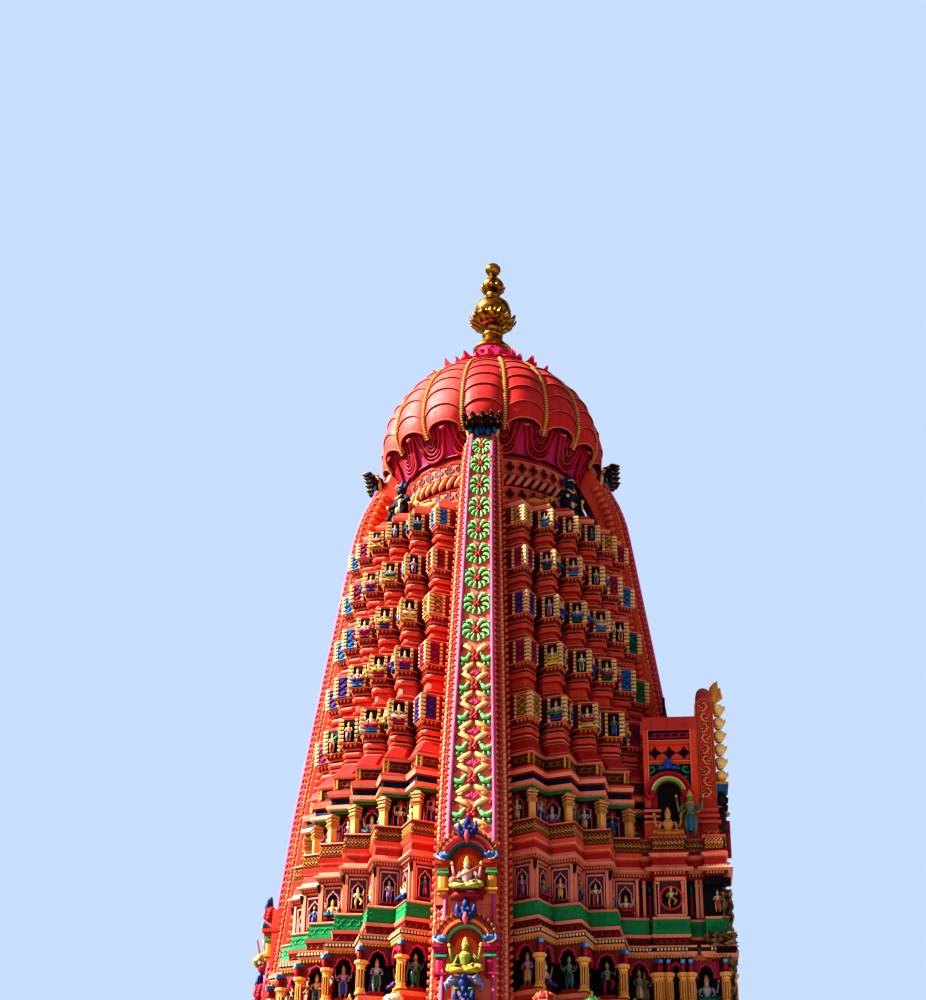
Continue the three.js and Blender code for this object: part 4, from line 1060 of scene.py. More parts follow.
def shrine_row(number, box_foot, box_top, radius, foot, radius_below):
    """One row of shrines with the stems that carry it."""
    row = Cast()
    tall = box_top - box_foot
    # dark paints the recessed courses of the stem: painted shade in the grooves.
    dark = paint(132, 30, 22)
    cap = (foot + 0.27, radius - 0.08) if number == 5 else (foot + 0.1, radius - 0.1)
    plate, roll = cap[0] + 0.08, box_foot - 0.31
    skin = (
        (foot, radius_below + 0.005, 0.02, SALMON), (foot + 0.02, radius_below + 0.012, 0.03, RED),
        (cap[0], cap[1], 0.06, SALMON), (cap[0] + 0.015, cap[1] - 0.01, 0.06, RED),
        (cap[0] + 0.02, radius - 0.15, 0.05, ORANGE), (plate - 0.01, radius - 0.165, 0.05, SALMON),
        (plate, radius - 0.1, 0.06, SALMON), (plate + 0.018, radius - 0.09, 0.06, RED),
        (plate + 0.045, radius - 0.11, 0.06, dark), (plate + 0.05, radius - 0.15, 0.06, ORANGE),
        (roll, radius - 0.165, 0.06, RED), (roll + 0.01, radius - 0.09, 0.07, ORANGE),
        (roll + 0.05, radius - 0.055, 0.08, ORANGE), (roll + 0.09, radius - 0.06, 0.08, SALMON),
        (roll + 0.115, radius - 0.09, 0.07, dark), (roll + 0.12, radius - 0.15, 0.06, dark),
        (box_foot - 0.14, radius - 0.14, 0.05, SALMON), (box_foot - 0.13, radius - 0.09, 0.04, RED),
        (box_foot - 0.11, radius - 0.08, 0.03, dark), (box_foot - 0.02, radius - 0.05, 0.03, RED),
        (box_foot - 0.015, radius + 0.005, 0.0, SALMON), (box_foot + 0.012, radius + 0.005, 0.0, dark),
        (box_foot + 0.014, radius - 0.005, 0.0, dark), (box_top, radius - 0.005, 0.0, RED))
    star_skin(row, skin, column_ring)
    clear = clear_of_block if number == 5 else (lambda places: places)
    wide = STAR_FACE * radius - GROOVE
    faces = []
    for side in (-1, 1):
        faces.append(shifted(clear(star_faces(radius, 0.0, sides=(side,))), x=-side * GROOVE / 2))
    courses = 6 if tall > 0.49 else 5
    step = (tall - 0.02) / courses
    for side, ends in zip((-1, 1), faces):
        row.add(zigzag(wide * 0.96, 0.085, 4), paint(226, 126, 56), shifted(ends, y=0.03, z=box_foot - 0.1))
        stack = []
        for course in range(courses):
            z0 = box_foot + 0.016 + course * step
            stack += [
                cushion(-wide / 2 - 0.03, -wide / 2 + 0.08, z0, z0 + step - 0.02, -0.034),
                cushion(wide / 2 - 0.06, wide / 2, z0, z0 + step - 0.02, -0.034)]
        stack = stack if side > 0 else [mirrored(part) for part in stack]
        row.add(gathered(*stack), paint(250, 206, 140), ends)
    faces = np.concatenate(faces)
    row.add(slab(wide / 2 - 0.06, -0.014, 0.02, box_top - 0.045, box_top - 0.012), RED, faces)
    lattices, shades, niches, seats = [], [], [], []
    for column in range(STAR_CORNERS):
        table = LEFT_OF_BAND if column // 6 in (1, 3) else RIGHT_OF_BAND
        for side in (-1, 1):
            spot = shifted(star_faces(radius, 0.0, (column,), (side,)), x=-side * GROOVE / 2)
            if len(clear(spot)) == 0:
                continue
            colour = table[5 - number].get(column % 6)
            if colour is not None:
                lattices.append(spot[0])
                shades.append(colour)
            else:
                niches.append(spot[0])
                seats.append(SEAT_PAINTS[(column * 4 + number * 5 + side) % len(SEAT_PAINTS)])
    half, low, top = wide / 2 - 0.065, box_foot + 0.02, box_top - 0.045
    spots, shades = np.array(lattices), np.array(shades)
    # The ground behind the pierced lattice is its colour darkened: painted shade behind the piercings.
    row.add(slab(half, -0.008, 0.02, low, top), shades * 0.35, spots)
    row.add(pierced_panel(2 * half, top - low), shades, shifted(spots, y=-0.02, z=(low + top) / 2))
    spots = np.array(niches)
    # Near-black boards in the niches: painted shade in their hollows.
    row.add(slab(half, -0.008, 0.02, low, top), paint(10, 8, 10), spots)
    with_seat = np.array([seat is not None for seat in seats])
    seat_paints = np.array([seat for seat in seats if seat is not None])
    row.add(gathered(
        slab(half, -0.055, 0.02, low, low + 0.035), slab(half, -0.04, 0.02, low, low + 0.06),
        slab(half, -0.05, 0.02, low + 0.055, low + 0.09)), seat_paints, spots[with_seat])
    seated, standing = spots[with_seat], spots[~with_seat]
    place_figures(
        row, shifted(seated, y=-0.035, z=low + 0.085), (tall - 0.2) / 0.7,
        drawn(SKINS[[0, 0, 1, 4, 4]], len(seated)), drawn(DRESSES, len(seated)), "seated")
    crowd(row, shifted(standing, y=-0.035, z=low), (tall - 0.12) / 1.05)
    row.make(f"shrine_row_{number}_cast", painted_plaster, "orange_paint", f"shrine_row_{number}")


for row_number, row_sizes in zip((5, 4, 3, 2, 1), SHRINE_ROWS):
    shrine_row(row_number, *row_sizes)

# Shoulder and neck: a ledge over the last row, and on it the round neck of brick and plaster
# with two strips of pierced four-lobed openings and a twisted rope moulding between them. The
# openings are dark boards: painted shade where the holes are.

SHOULDER_LEVELS = (
    (22.13, 3.02, RED), (22.2, 3.05, SALMON), (22.27, 3.08, SALMON), (22.3, 3.08, RED),
    (22.36, 2.98, ORANGE), (22.45, 2.9, ORANGE))
shoulder = Cast()
storey_skin(shoulder, SHOULDER_LEVELS)
shoulder.make("shoulder_ledge", painted_plaster, "orange_paint", "shoulder")

neck = Cast()
NECK_TOP = 24.0
NECK_PAINT = paint(238, 122, 92)
NECK_PROFILE = (
    (22.45, 1.98, RED), (22.86, 1.96, SALMON), (22.88, 1.99, RED), (22.9, 1.94, NECK_PAINT),
    (23.2, 1.94, SALMON), (23.22, 1.98, DEEP_RED), (23.26, 1.93, DEEP_RED), (23.53, 1.93, SALMON),
    (23.56, 1.99, RED), (23.58, 1.94, NECK_PAINT), (23.88, 1.94, SALMON), (23.9, 1.985, RED),
    (23.93, 1.97, CRIMSON), (NECK_TOP, 1.97, CRIMSON))


def round_ring(radius, z, ease=0.0):
    """A round plan, which has no corners to ease."""
    turns = np.arange(72) * 2 * pi / 72
    return [(radius * cos(t), radius * sin(t), z) for t in turns]


storey_skin(neck, NECK_PROFILE, round_ring)


def round_places(count, radius=0.0, z=0.0, begin=0.0):
    """Places evenly round the tower."""
    return np.array([facing(radians(begin) + i * 2 * pi / count, radius, z) for i in range(count)])


lobes = []
for t in np.linspace(0, 2 * pi, 25)[:-1]:
    swell = 0.42 + 0.58 * sqrt(abs(cos(2 * t)))
    lobes.append((0.1 * cos(t) * swell, 0.13 * sin(t) * swell))
rim_lobes = [(x * 1.18, z * 1.16) for x, z in lobes]
for strip_height in (23.05, 23.73):
    holes = round_places(44, 1.94, strip_height)
    # Dark four-lobed boards stand for the piercings: painted shade.
    neck.add(board(lobes, -0.012, 0.02), paint(62, 8, 10), holes)
    neck.add(strip(lobes + lobes[:1], rim_lobes + rim_lobes[:1], -0.024, 0.0), paint(236, 92, 66), holes)
twist = limb(
    [(-0.1, 0.0, -0.125), (-0.045, -0.045, -0.07), (0.045, -0.045, 0.07), (0.1, 0.0, 0.125)],
    (0.03, 0.058, 0.058, 0.03), 6)
neck.add(twist, paint(246, 158, 112), round_places(64, 1.95, 23.395), True)
neck.make("neck_drum", painted_plaster, "coral_paint", "neck")

# Lotus under the dome: a flared magenta collar of plaster. Under each lobe of the dome it
# carries a scroll of nested U-shaped ridges with a small teardrop in its middle.

RIB_STEP = 22.5
FLARE = ((NECK_TOP, 1.99), (24.15, 2.02), (24.35, 2.1), (24.55, 2.2), (24.72, 2.3), (24.84, 2.34))


def on_flare(turn, rise, lift=0.0):
    """A point of the collar in front: turn in degrees sideways, rise from 0 to 1."""
    heights, radii = zip(*FLARE)
    z = heights[0] + rise * (heights[-1] - heights[0])
    radius = float(np.interp(z, heights, radii)) + lift
    return (radius * sin(radians(turn)), -radius * cos(radians(turn)), z - lift * 0.6)


collar = Cast()
storey_skin(collar, tuple((z, r, paint(206, 24, 116)) for z, r in FLARE), round_ring)
south_turned = np.array([facing(radians(-90 + RIB_STEP / 2 + RIB_STEP * k), 0.0) for k in range(16)])
for ridge in range(6):
    reach, floor = 1 - 0.165 * ridge, 0.04 + 0.1 * ridge
    path = [
        on_flare(-11.0 * reach, 1.02, 0.0), on_flare(-10.0 * reach, 0.8, 0.03),
        on_flare(-8.2 * reach, 0.5, 0.04)]
    for turn in np.linspace(pi * 1.05, pi * 1.95, 7):
        path.append(on_flare(7.2 * reach * cos(turn), floor + 0.24 + 0.24 * sin(turn), 0.045))
    path += [
        on_flare(8.2 * reach, 0.5, 0.04), on_flare(10.0 * reach, 0.8, 0.03),
        on_flare(11.0 * reach, 1.02, 0.0)]
    shade = (paint(204, 18, 60), paint(150, 8, 42))[ridge % 2]
    collar.add(limb(path, 0.037, 5), shade, south_turned, True)
tear = limb(
    [on_flare(0, 1.0, 0.03), on_flare(0, 0.84, 0.06), on_flare(0, 0.66, 0.05)], (0.012, 0.045, 0.015), 6)
collar.add(tear, paint(110, 8, 30), south_turned, True)
collar_foot = ((NECK_TOP, 2.0, paint(80, 6, 18)), (24.03, 2.04, paint(226, 80, 92)), (24.055, 2.03, CRIMSON))
storey_skin(collar, collar_foot, round_ring)
collar.make("lotus_collar", painted_plaster, "magenta_paint", "neck_petals")

# Dome: a ribbed shell of plaster on brick in sixteen lobes. Each lobe has overlapping scale
# plates with raised rims, painted pale as a highlight, and a flat notched rib painted gold lies
# in each groove. The lobes on the sun side are painted paler red than the rest: painted light.

DOME_CENTRE = 25.0
DOME_RADIUS = 2.54
DOME_RISE = 2.29
LOBE_DEPTH = 0.045
PLATE_RIMS = (-9.5, 3.0, 14.0, 23.5, 33.0, 43.0, 53.0, 63.0)


def dome_point(turn, tilt, swell):
    """A point of the dome: turn across a lobe from -1 to 1, tilt in degrees over the widest ring."""
    angle = radians(turn * RIB_STEP / 2)
    t = radians(tilt)
    if tilt >= 0:
        radius, z = DOME_RADIUS * cos(t), DOME_CENTRE + DOME_RISE * sin(t)
    else:
        radius, z = DOME_RADIUS * cos(t) ** 1.5, DOME_CENTRE + 1.7 * sin(t)
    radius *= 1 - LOBE_DEPTH * abs(turn) ** 2.6
    radius += swell * cos(t)
    z += swell * sin(t)
    return (radius * sin(angle), -radius * cos(angle), z)


def arch_drop(turn, tilt):
    """How far a rim falls from the middle of a lobe to its edges, in degrees."""
    fade = max(0.0, 1 - max(0.0, tilt) / 80)
    return 9.5 * fade * (1 - sqrt(max(0.0, 1 - 0.92 * turn * turn)))


def dome_lobe():
    """One lobe: its plates, and their rims as raised lines."""
    turns = np.sin(np.linspace(-pi / 2, pi / 2, 15))
    plates, rims = [], []
    for low, high in zip(PLATE_RIMS[:-1], PLATE_RIMS[1:]):
        rows = []
        for share in np.linspace(0, 1, 7):
            tilt = low + (high - low) * share
            rows.append([dome_point(u, tilt - arch_drop(u, tilt), 0.028 * (1 - share) ** 1.5) for u in turns])
        grid = np.array(rows)
        n = len(turns)
        faces = [
            (r * n + i, r * n + i + 1, (r + 1) * n + i + 1, (r + 1) * n + i) for r in range(len(rows) - 1)
            for i in range(n - 1)]
        plates.append((grid.reshape(-1, 3), faces))
        line = [dome_point(u, low - arch_drop(u, low) + 0.2, 0.024) for u in turns]
        rims.append(limb(line, 0.011 if low > 0 else 0.024, 4))
    return gathered(*plates), gathered(*rims)


dome = Cast()
dome_plates, dome_rims = dome_lobe()
lobe_places = np.array([facing(radians(-90 + RIB_STEP * k), 0.0) for k in range(16)])
# Painted light: the six lobes from north-west round to south-south-west, on the sun side, get the paler red,
# the rest a darker red.
for lobe_red_painted_light, lobes in ((paint(233, 86, 76), lobe_places[10:]), (paint(214, 52, 48), lobe_places[:10])):
    dome.add(dome_plates, lobe_red_painted_light, lobes, True)
# The rims are painted paler than the plates: painted highlight on the raised edges.
dome.add(dome_rims, paint(240, 124, 96), lobe_places, True)
under = [dome_point(u, -9.5 - arch_drop(u, -9.5), -0.02) for u in np.linspace(-1, 1, 13)]
inside = [(x * 0.9, y * 0.9, z + 0.1) for x, y, z in under]
soffit = (under + inside, [(i, 13 + i, 14 + i, i + 1) for i in range(12)])
dome.add(soffit, paint(120, 14, 40), lobe_places, True)
# The curled lip at each lobe's peak is painted pink: painted highlight.
hook = limb(
    [(-0.07, -2.42, 24.6), (-0.02, -2.47, 24.55), (0.05, -2.47, 24.57), (0.05, -2.42, 24.63)],
    (0.012, 0.03, 0.03, 0.012), 6)
dome.add(hook, paint(234, 84, 116), lobe_places, True)
rib_tilts = np.linspace(-17.5, 62, 46)
for offset, width, swell, shade in (
        (0.0, 0.05, 0.03, paint(206, 140, 62)), (-0.085, 0.02, 0.03, paint(232, 108, 84)),
        (0.085, 0.02, 0.03, paint(232, 108, 84))):
    line = []
    for tilt in rib_tilts[::2]:
        x, y, z = dome_point(1.0, tilt, swell)
        line.append((
            x + offset * cos(radians(RIB_STEP / 2)) * max(0.35, cos(radians(tilt))),
            y + offset * sin(radians(RIB_STEP / 2)), z))
    dome.add(limb(line, width, 6, 0.7), shade, lobe_places, True)
notches = [
    blob(dome_point(1.0, tilt, 0.062), (0.056 * max(0.6, cos(radians(tilt))), 0.03, 0.019), 6, 3)
    for tilt in rib_tilts]
dome.add(gathered(*notches), paint(240, 196, 112), lobe_places, True)
dome.make("ribbed_dome", painted_plaster, "coral_paint", "dome")

# Crown petals: a lotus of cast plaster over the top of the dome, with pointed petals that turn
# up at the tip, and a cone of folded upright petals that grips the finial.


def petal(wide, spine, thick=0.02, shares=(0.7, 1.0, 0.85, 0.45, 0.04)):
    """A pointed petal along a spine of (y, z) points, y outward."""
    rings = []
    for (y, z), share in zip(spine, shares):
        w = wide * share / 2
        rings.append(
            [(-w, -y + thick * 1.5, z), (0, -y - thick, z), (w, -y + thick * 1.5, z), (0, -y + thick, z)])
    return stacked(np.array(rings)[:, ::-1])


CROWN_CORE = ((27.04, 1.1), (27.24, 0.94), (27.56, 0.62), (27.8, 0.5), (27.98, 0.4))
CROWN_SPINES = (
    ((1.02, 27.2), (1.18, 27.06), (1.3, 27.0), (1.4, 27.04), (1.46, 27.2)),
    ((0.84, 27.38), (1.0, 27.22), (1.1, 27.14), (1.17, 27.18), (1.22, 27.31)),
    ((0.62, 27.58), (0.78, 27.42), (0.88, 27.36), (0.94, 27.4), (0.98, 27.53)))
CROWN_PAINTS = paints((214, 34, 84), (190, 20, 90), (222, 40, 116))
crown = Cast()
storey_skin(crown, [(z, radius, MAGENTA) for z, radius in CROWN_CORE], round_ring)
for spine, colour, (count, begin, wide) in zip(
        CROWN_SPINES, CROWN_PAINTS, ((16, 0.0, 0.5), (14, 11.25, 0.46), (10, 0.0, 0.46))):
    crown.add(petal(wide, spine, 0.016), colour, round_places(count, begin=begin - 90))
for count, begin, radius, foot, top, wide in (
        (8, 22.5, 0.68, 27.34, 27.72, 0.48), (8, 0.0, 0.56, 27.52, 27.87, 0.42)):
    spine = [
        (radius, foot), (radius - 0.06, foot + 0.14), (radius - 0.13, top - 0.18),
        (radius - 0.13, top - 0.08), (radius - 0.08, top)]
    upright = petal(wide, spine, 0.05, (0.9, 1.0, 0.9, 0.8, 0.5))
    crown.add(upright, paint(196, 24, 88), round_places(count, begin=begin - 90))
crown.make("crown_lotus", painted_plaster, "magenta_paint", "crown_petals")

# Finial: the gilt water pot, beaten from copper sheet in rings that are slid over an iron rod
# and gilded.


def mottled(tree, scale, detail, *stops):
    """Noise over the piece, and a ramp of two paints laid on it, each at its place."""
    spot = add_node(tree, "TexCoord").outputs["Object"]
    marks = add_node(tree, "TexNoise", {"Scale": scale, "Detail": detail, "Vector": spot}).outputs[0]
    ramp = add_node(tree, "ValToRGB", {0: marks})
    for stop, (place, shade) in zip(ramp.color_ramp.elements, stops):
        stop.position, stop.color = place, (*paint(*shade), 1)
    return marks, ramp.outputs[0]


def gilt_material():
    """Old gilding: warm gold, mottled at random, duller in some patches and brighter in others."""
    material, tree, shader = new_material("gilding")
    shader.inputs["Metallic"].default_value = 1.0
    marks, gold = mottled(tree, 9.0, 6.0, (0.35, (84, 46, 8)), (0.62, (214, 158, 60)))
    rough = add_node(tree, "MapRange", {"Value": marks, "To Min": 0.5, "To Max": 0.24})
    surface(tree, shader, gold, rough.outputs[0], marks, 0.25, 0.01)
    return material


gilding = gilt_material()
GILT_LEAF = (0.8, 1.0, 1.1, 0.9, 0.3)


def copper_ring(cast, sides, *profile):
    """One ring of beaten copper, from its (radius, height) pairs."""
    cast.add(turned(profile, sides), GOLD_PAINT, soft=True)


def copper_leaves(cast, count, begin, wide, thick, *spine):
    """A crown of gilt leaves round the finial."""
    places = round_places(count, begin=begin)
    cast.add(petal(wide, spine, thick, GILT_LEAF), GOLD_PAINT, places, True)


finial_base = Cast()
copper_ring(
    finial_base, 28, (0.46, 28.0), (0.46, 28.03), (0.42, 28.08), (0.32, 28.16), (0.26, 28.28),
    (0.22, 28.41))
copper_ring(
    finial_base, 28, (0.2, 28.4), (0.245, 28.43), (0.245, 28.49), (0.2, 28.52), (0.2, 28.56), (0.25, 28.6),
    (0.25, 28.65), (0.21, 28.69))
copper_ring(
    finial_base, 32, (0.21, 28.68), (0.32, 28.74), (0.4, 28.8), (0.42, 28.86), (0.36, 28.92), (0.3, 28.96),
    (0.28, 29.0))
copper_leaves(
    finial_base, 14, -90, 0.2, 0.014, (0.32, 28.74), (0.44, 28.77), (0.51, 28.81), (0.545, 28.86),
    (0.57, 28.95))
copper_leaves(
    finial_base, 14, -77, 0.16, 0.012, (0.3, 28.86), (0.39, 28.87), (0.44, 28.89), (0.47, 28.92),
    (0.49, 28.97))
finial_base.make("finial_lotus", gilding, "gilt_metal", "finial_base")
finial_pot = Cast()
copper_ring(
    finial_pot, 32, (0.33, 28.97), (0.39, 29.04), (0.42, 29.12), (0.42, 29.22), (0.385, 29.34),
    (0.3, 29.43), (0.2, 29.48), (0.15, 29.56))
copper_ring(finial_pot, 32, (0.4, 29.15), (0.41, 29.165), (0.41, 29.18), (0.4, 29.195))
finial_pot.make("finial_water_pot", gilding, "gilt_metal", "finial_pot")
finial_spire = Cast()
copper_ring(
    finial_spire, 24, (0.13, 29.54), (0.16, 29.58), (0.17, 29.63), (0.16, 29.68), (0.12, 29.71),
    (0.11, 29.75))
copper_ring(
    finial_spire, 24, (0.12, 29.74), (0.22, 29.8), (0.26, 29.88), (0.255, 29.97), (0.2, 30.06),
    (0.12, 30.13), (0.08, 30.19), (0.07, 30.24))
copper_leaves(
    finial_spire, 12, -90, 0.14, 0.01, (0.17, 29.76), (0.24, 29.78), (0.275, 29.8), (0.29, 29.83),
    (0.3, 29.87))
copper_ring(
    finial_spire, 24, (0.07, 30.22), (0.11, 30.24), (0.08, 30.27), (0.15, 30.31), (0.185, 30.38),
    (0.18, 30.45), (0.13, 30.52), (0.06, 30.56), (0.03, 30.58), (0.015, 30.6))
finial_spire.make("finial_tip", gilding, "gilt_metal", "finial_spire")

# Bands: four ribs of brick and plaster that run up the cardinal sides and stand free of the
# neck as flying ribs. The front is a carved panel between two pink rails, and the splayed
# edges carry plaster flowers. The relief is moulded on the wall and painted.

BAND_OUTER = (
    (9.5, 4.88), (11.4, 4.62), (12.76, 4.45), (14.56, 4.24), (16.16, 4.06), (18.4, 3.74), (19.88, 3.52),
    (20.8, 3.375), (22.4, 3.13), (23.18, 3.0), (23.5, 2.88), (24.0, 2.66), (24.36, 2.46), (24.6, 2.36))
BAND_FACE = ((9.5, 0.49), (15.0, 0.43), (18.6, 0.335), (24.6, 0.215))
BAND_HALF = ((9.5, 0.74), (15.0, 0.65), (18.6, 0.55), (22.4, 0.43), (24.6, 0.33))
BAND_BACK = ((9.5, 3.8), (16.3, 3.0), (22.45, 2.5), (23.0, 2.43), (23.5, 2.25), (24.0, 2.02), (24.6, 1.96))


def read(table, z):
    """The value of a table of (height, value) at a height."""
    heights, values = zip(*table)
    return float(np.interp(z, heights, values))


def on_band(z, across, out=0.0):
    """A place on the south band's front or splayed edge, leaning with the band."""
    outer, over = read(BAND_OUTER, z), max(0.0, abs(across) - read(BAND_FACE, z))
    lean = (read(BAND_OUTER, z + 0.15) - read(BAND_OUTER, z - 0.15)) / 0.3
    place = np.zeros((3, 4))
    up = np.array([0.0, -lean, 1.0])
    up /= np.linalg.norm(up)
    right = np.array([1.0, 0.0, 0.0])
    if over > 0.01:
        right = np.array([sqrt(0.5), copysign(sqrt(0.5), across), 0.0])
    inward = np.cross(up, right)
    place[:, 0], place[:, 1], place[:, 2] = right, inward, up
    place[:, 3] = (across, -(outer - over), z)
    place[:, 3] -= inward * out
    return place


def quarter_turned(places, quarters):
    """South places carried to other bands by quarter turns."""
    turns = []
    for quarter in quarters:
        c, s = (1, 0, -1, 0)[quarter], (0, 1, 0, -1)[quarter]
        turns.append(np.array([[c, -s, 0], [s, c, 0], [0, 0, 1]], float))
    return np.concatenate([np.einsum("ij,njk->nik", turn, np.asarray(places, float)) for turn in turns])


PANEL_GROUND = paint(244, 128, 104)
EDGE_GROUND = paint(240, 140, 104)
PANEL_RED = paint(196, 26, 44)
LEAF_OCHRE = paint(252, 192, 118)
LEAF_CREAM = paint(248, 214, 120)
RAIL_PINK = paint(222, 92, 140)
EDGE_LUMP = paint(246, 170, 128)


def band_plan(z):
    """Half of a band's plan at a height, from the middle of its front to the edge of its back."""
    face, half = read(BAND_FACE, z), read(BAND_HALF, z)
    outer, back = read(BAND_OUTER, z), read(BAND_BACK, z)
    return [(0.0, -outer), (face, -outer), (half, -outer + half - face), (half, -back)]


def band_body(cast, quarters, foot):
    """The rib itself: front panel, splayed edges, plain sides and back."""
    straight = np.arange(ceil(foot * 4 + 1) / 4, 23.0, 0.5)
    heights = np.concatenate([[foot], straight, np.arange(23.0, 24.61, 0.16)])
    plans = [(z, band_plan(z)) for z in heights]
    quads = [(2 * i, 2 * i + 1, 2 * i + 3, 2 * i + 2) for i in range(len(heights) - 1)]
    places = quarter_turned(HERE, quarters)
    for part, colour in enumerate((PANEL_GROUND, EDGE_GROUND, ORANGE)):
        for side in (-1, 1):
            points = [(side * x, y, z) for z, plan in plans for x, y in plan[part:part + 2]]
            faces = quads if side > 0 else [quad[::-1] for quad in quads]
            cast.add((points, faces), colour, places)
    points = [(side * plan[3][0], plan[3][1], z) for z, plan in plans for side in (-1, 1)]
    faces = [(2 * i, 2 * i + 2, 2 * i + 3, 2 * i + 1) for i in range(len(heights) - 1)]
    cast.add((points, faces), DEEP_RED, places)


def band_spots(heights, across, out=0.0, quarters=(0,)):
    """Places at several heights, at one share of the front's half width or at an edge offset."""
    places = []
    for z in heights:
        face, half = read(BAND_FACE, z), read(BAND_HALF, z)
        if isinstance(across, tuple):
            side, share = across
            x = side * (face + share * (half - face))
        else:
            x = across * face
        places.append(on_band(z, x, out))
    return quarter_turned(np.array(places), quarters)


def leaf(path, thick):
    """A curling leaf in relief, thin at both ends."""
    shares = np.sin(np.linspace(0.25, pi - 0.15, len(path)))
    path3 = [(x, -0.008 - 0.022 * share, z) for (x, z), share in zip(path, shares)]
    return limb(path3, thick * np.maximum(shares, 0.25), 5, 0.5)


BIRD = gathered(
    leaf(((0.12, 0.06), (0.16, 0.03), (0.2, -0.05), (0.28, -0.06), (0.35, 0.0), (0.4, 0.06)), 0.062),
    leaf(((0.1, 0.03), (0.13, 0.08), (0.18, 0.07)), 0.04),
    leaf(((0.27, -0.08), (0.32, -0.15), (0.29, -0.2)), 0.034),
    leaf(((0.2, -0.09), (0.22, -0.16), (0.18, -0.2)), 0.028))
LEAF_SPRAY = gathered(
    leaf(((0.03, 0.07), (0.07, 0.17), (0.14, 0.25), (0.23, 0.24), (0.25, 0.17)), 0.056),
    leaf(((0.09, 0.05), (0.18, 0.11), (0.28, 0.13), (0.35, 0.06), (0.33, 0.0)), 0.056),
    leaf(((0.1, -0.02), (0.2, -0.02), (0.3, -0.05), (0.34, -0.13), (0.27, -0.16)), 0.056),
    leaf(((0.08, -0.09), (0.17, -0.13), (0.22, -0.2), (0.15, -0.25)), 0.056),
    leaf(((0.04, -0.12), (0.08, -0.2), (0.09, -0.27), (0.03, -0.3)), 0.05),
    leaf(((0.27, 0.24), (0.33, 0.22), (0.36, 0.15)), 0.036))
SPRAY_STEMS = gathered(*[
    leaf(((0.03, -0.03), (x, z / 2 - 0.02), (x * 1.4, z)), 0.022) for x, z in ((0.05, -0.2), (0.1, -0.14))])
ROSETTE = gathered(*[
    blob((0.066 * cos(t), -0.03, 0.066 * sin(t)), (0.062, 0.036, 0.062), 6, 3)
    for t in np.arange(4) * pi / 2 + pi / 4])
X_LEAF = gathered(
    leaf(((0.03, 0.09), (0.08, 0.17), (0.16, 0.22), (0.25, 0.27), (0.33, 0.28)), 0.066),
    leaf(((0.16, 0.24), (0.2, 0.31), (0.28, 0.33)), 0.04))


def boss(x, z, radius, rise):
    """A small rounded boss of plaster that stands on the face."""
    turns = np.arange(5) * 2 * pi / 5
    return stacked([
        [(x + r * cos(t), -out, z + r * sin(t)) for t in turns]
        for r, out in ((radius, -0.004), (0.66 * radius, rise))], foot=False)


FLOWER = gathered(
    *[boss(0.034 * cos(t), 0.034 * sin(t), 0.028, 0.032) for t in np.arange(5) * 2 * pi / 5 + 0.3],
    boss(0, 0, 0.02, 0.044))
FAN = gathered(*[
    leaf(((0.0, -0.42), (0.6 * x, -0.38 + 0.4 * z), (x, -0.36 + z)), 0.026)
    for x, z in ((-0.13, 0.02), (-0.08, 0.09), (0, 0.12), (0.08, 0.09), (0.13, 0.02))])


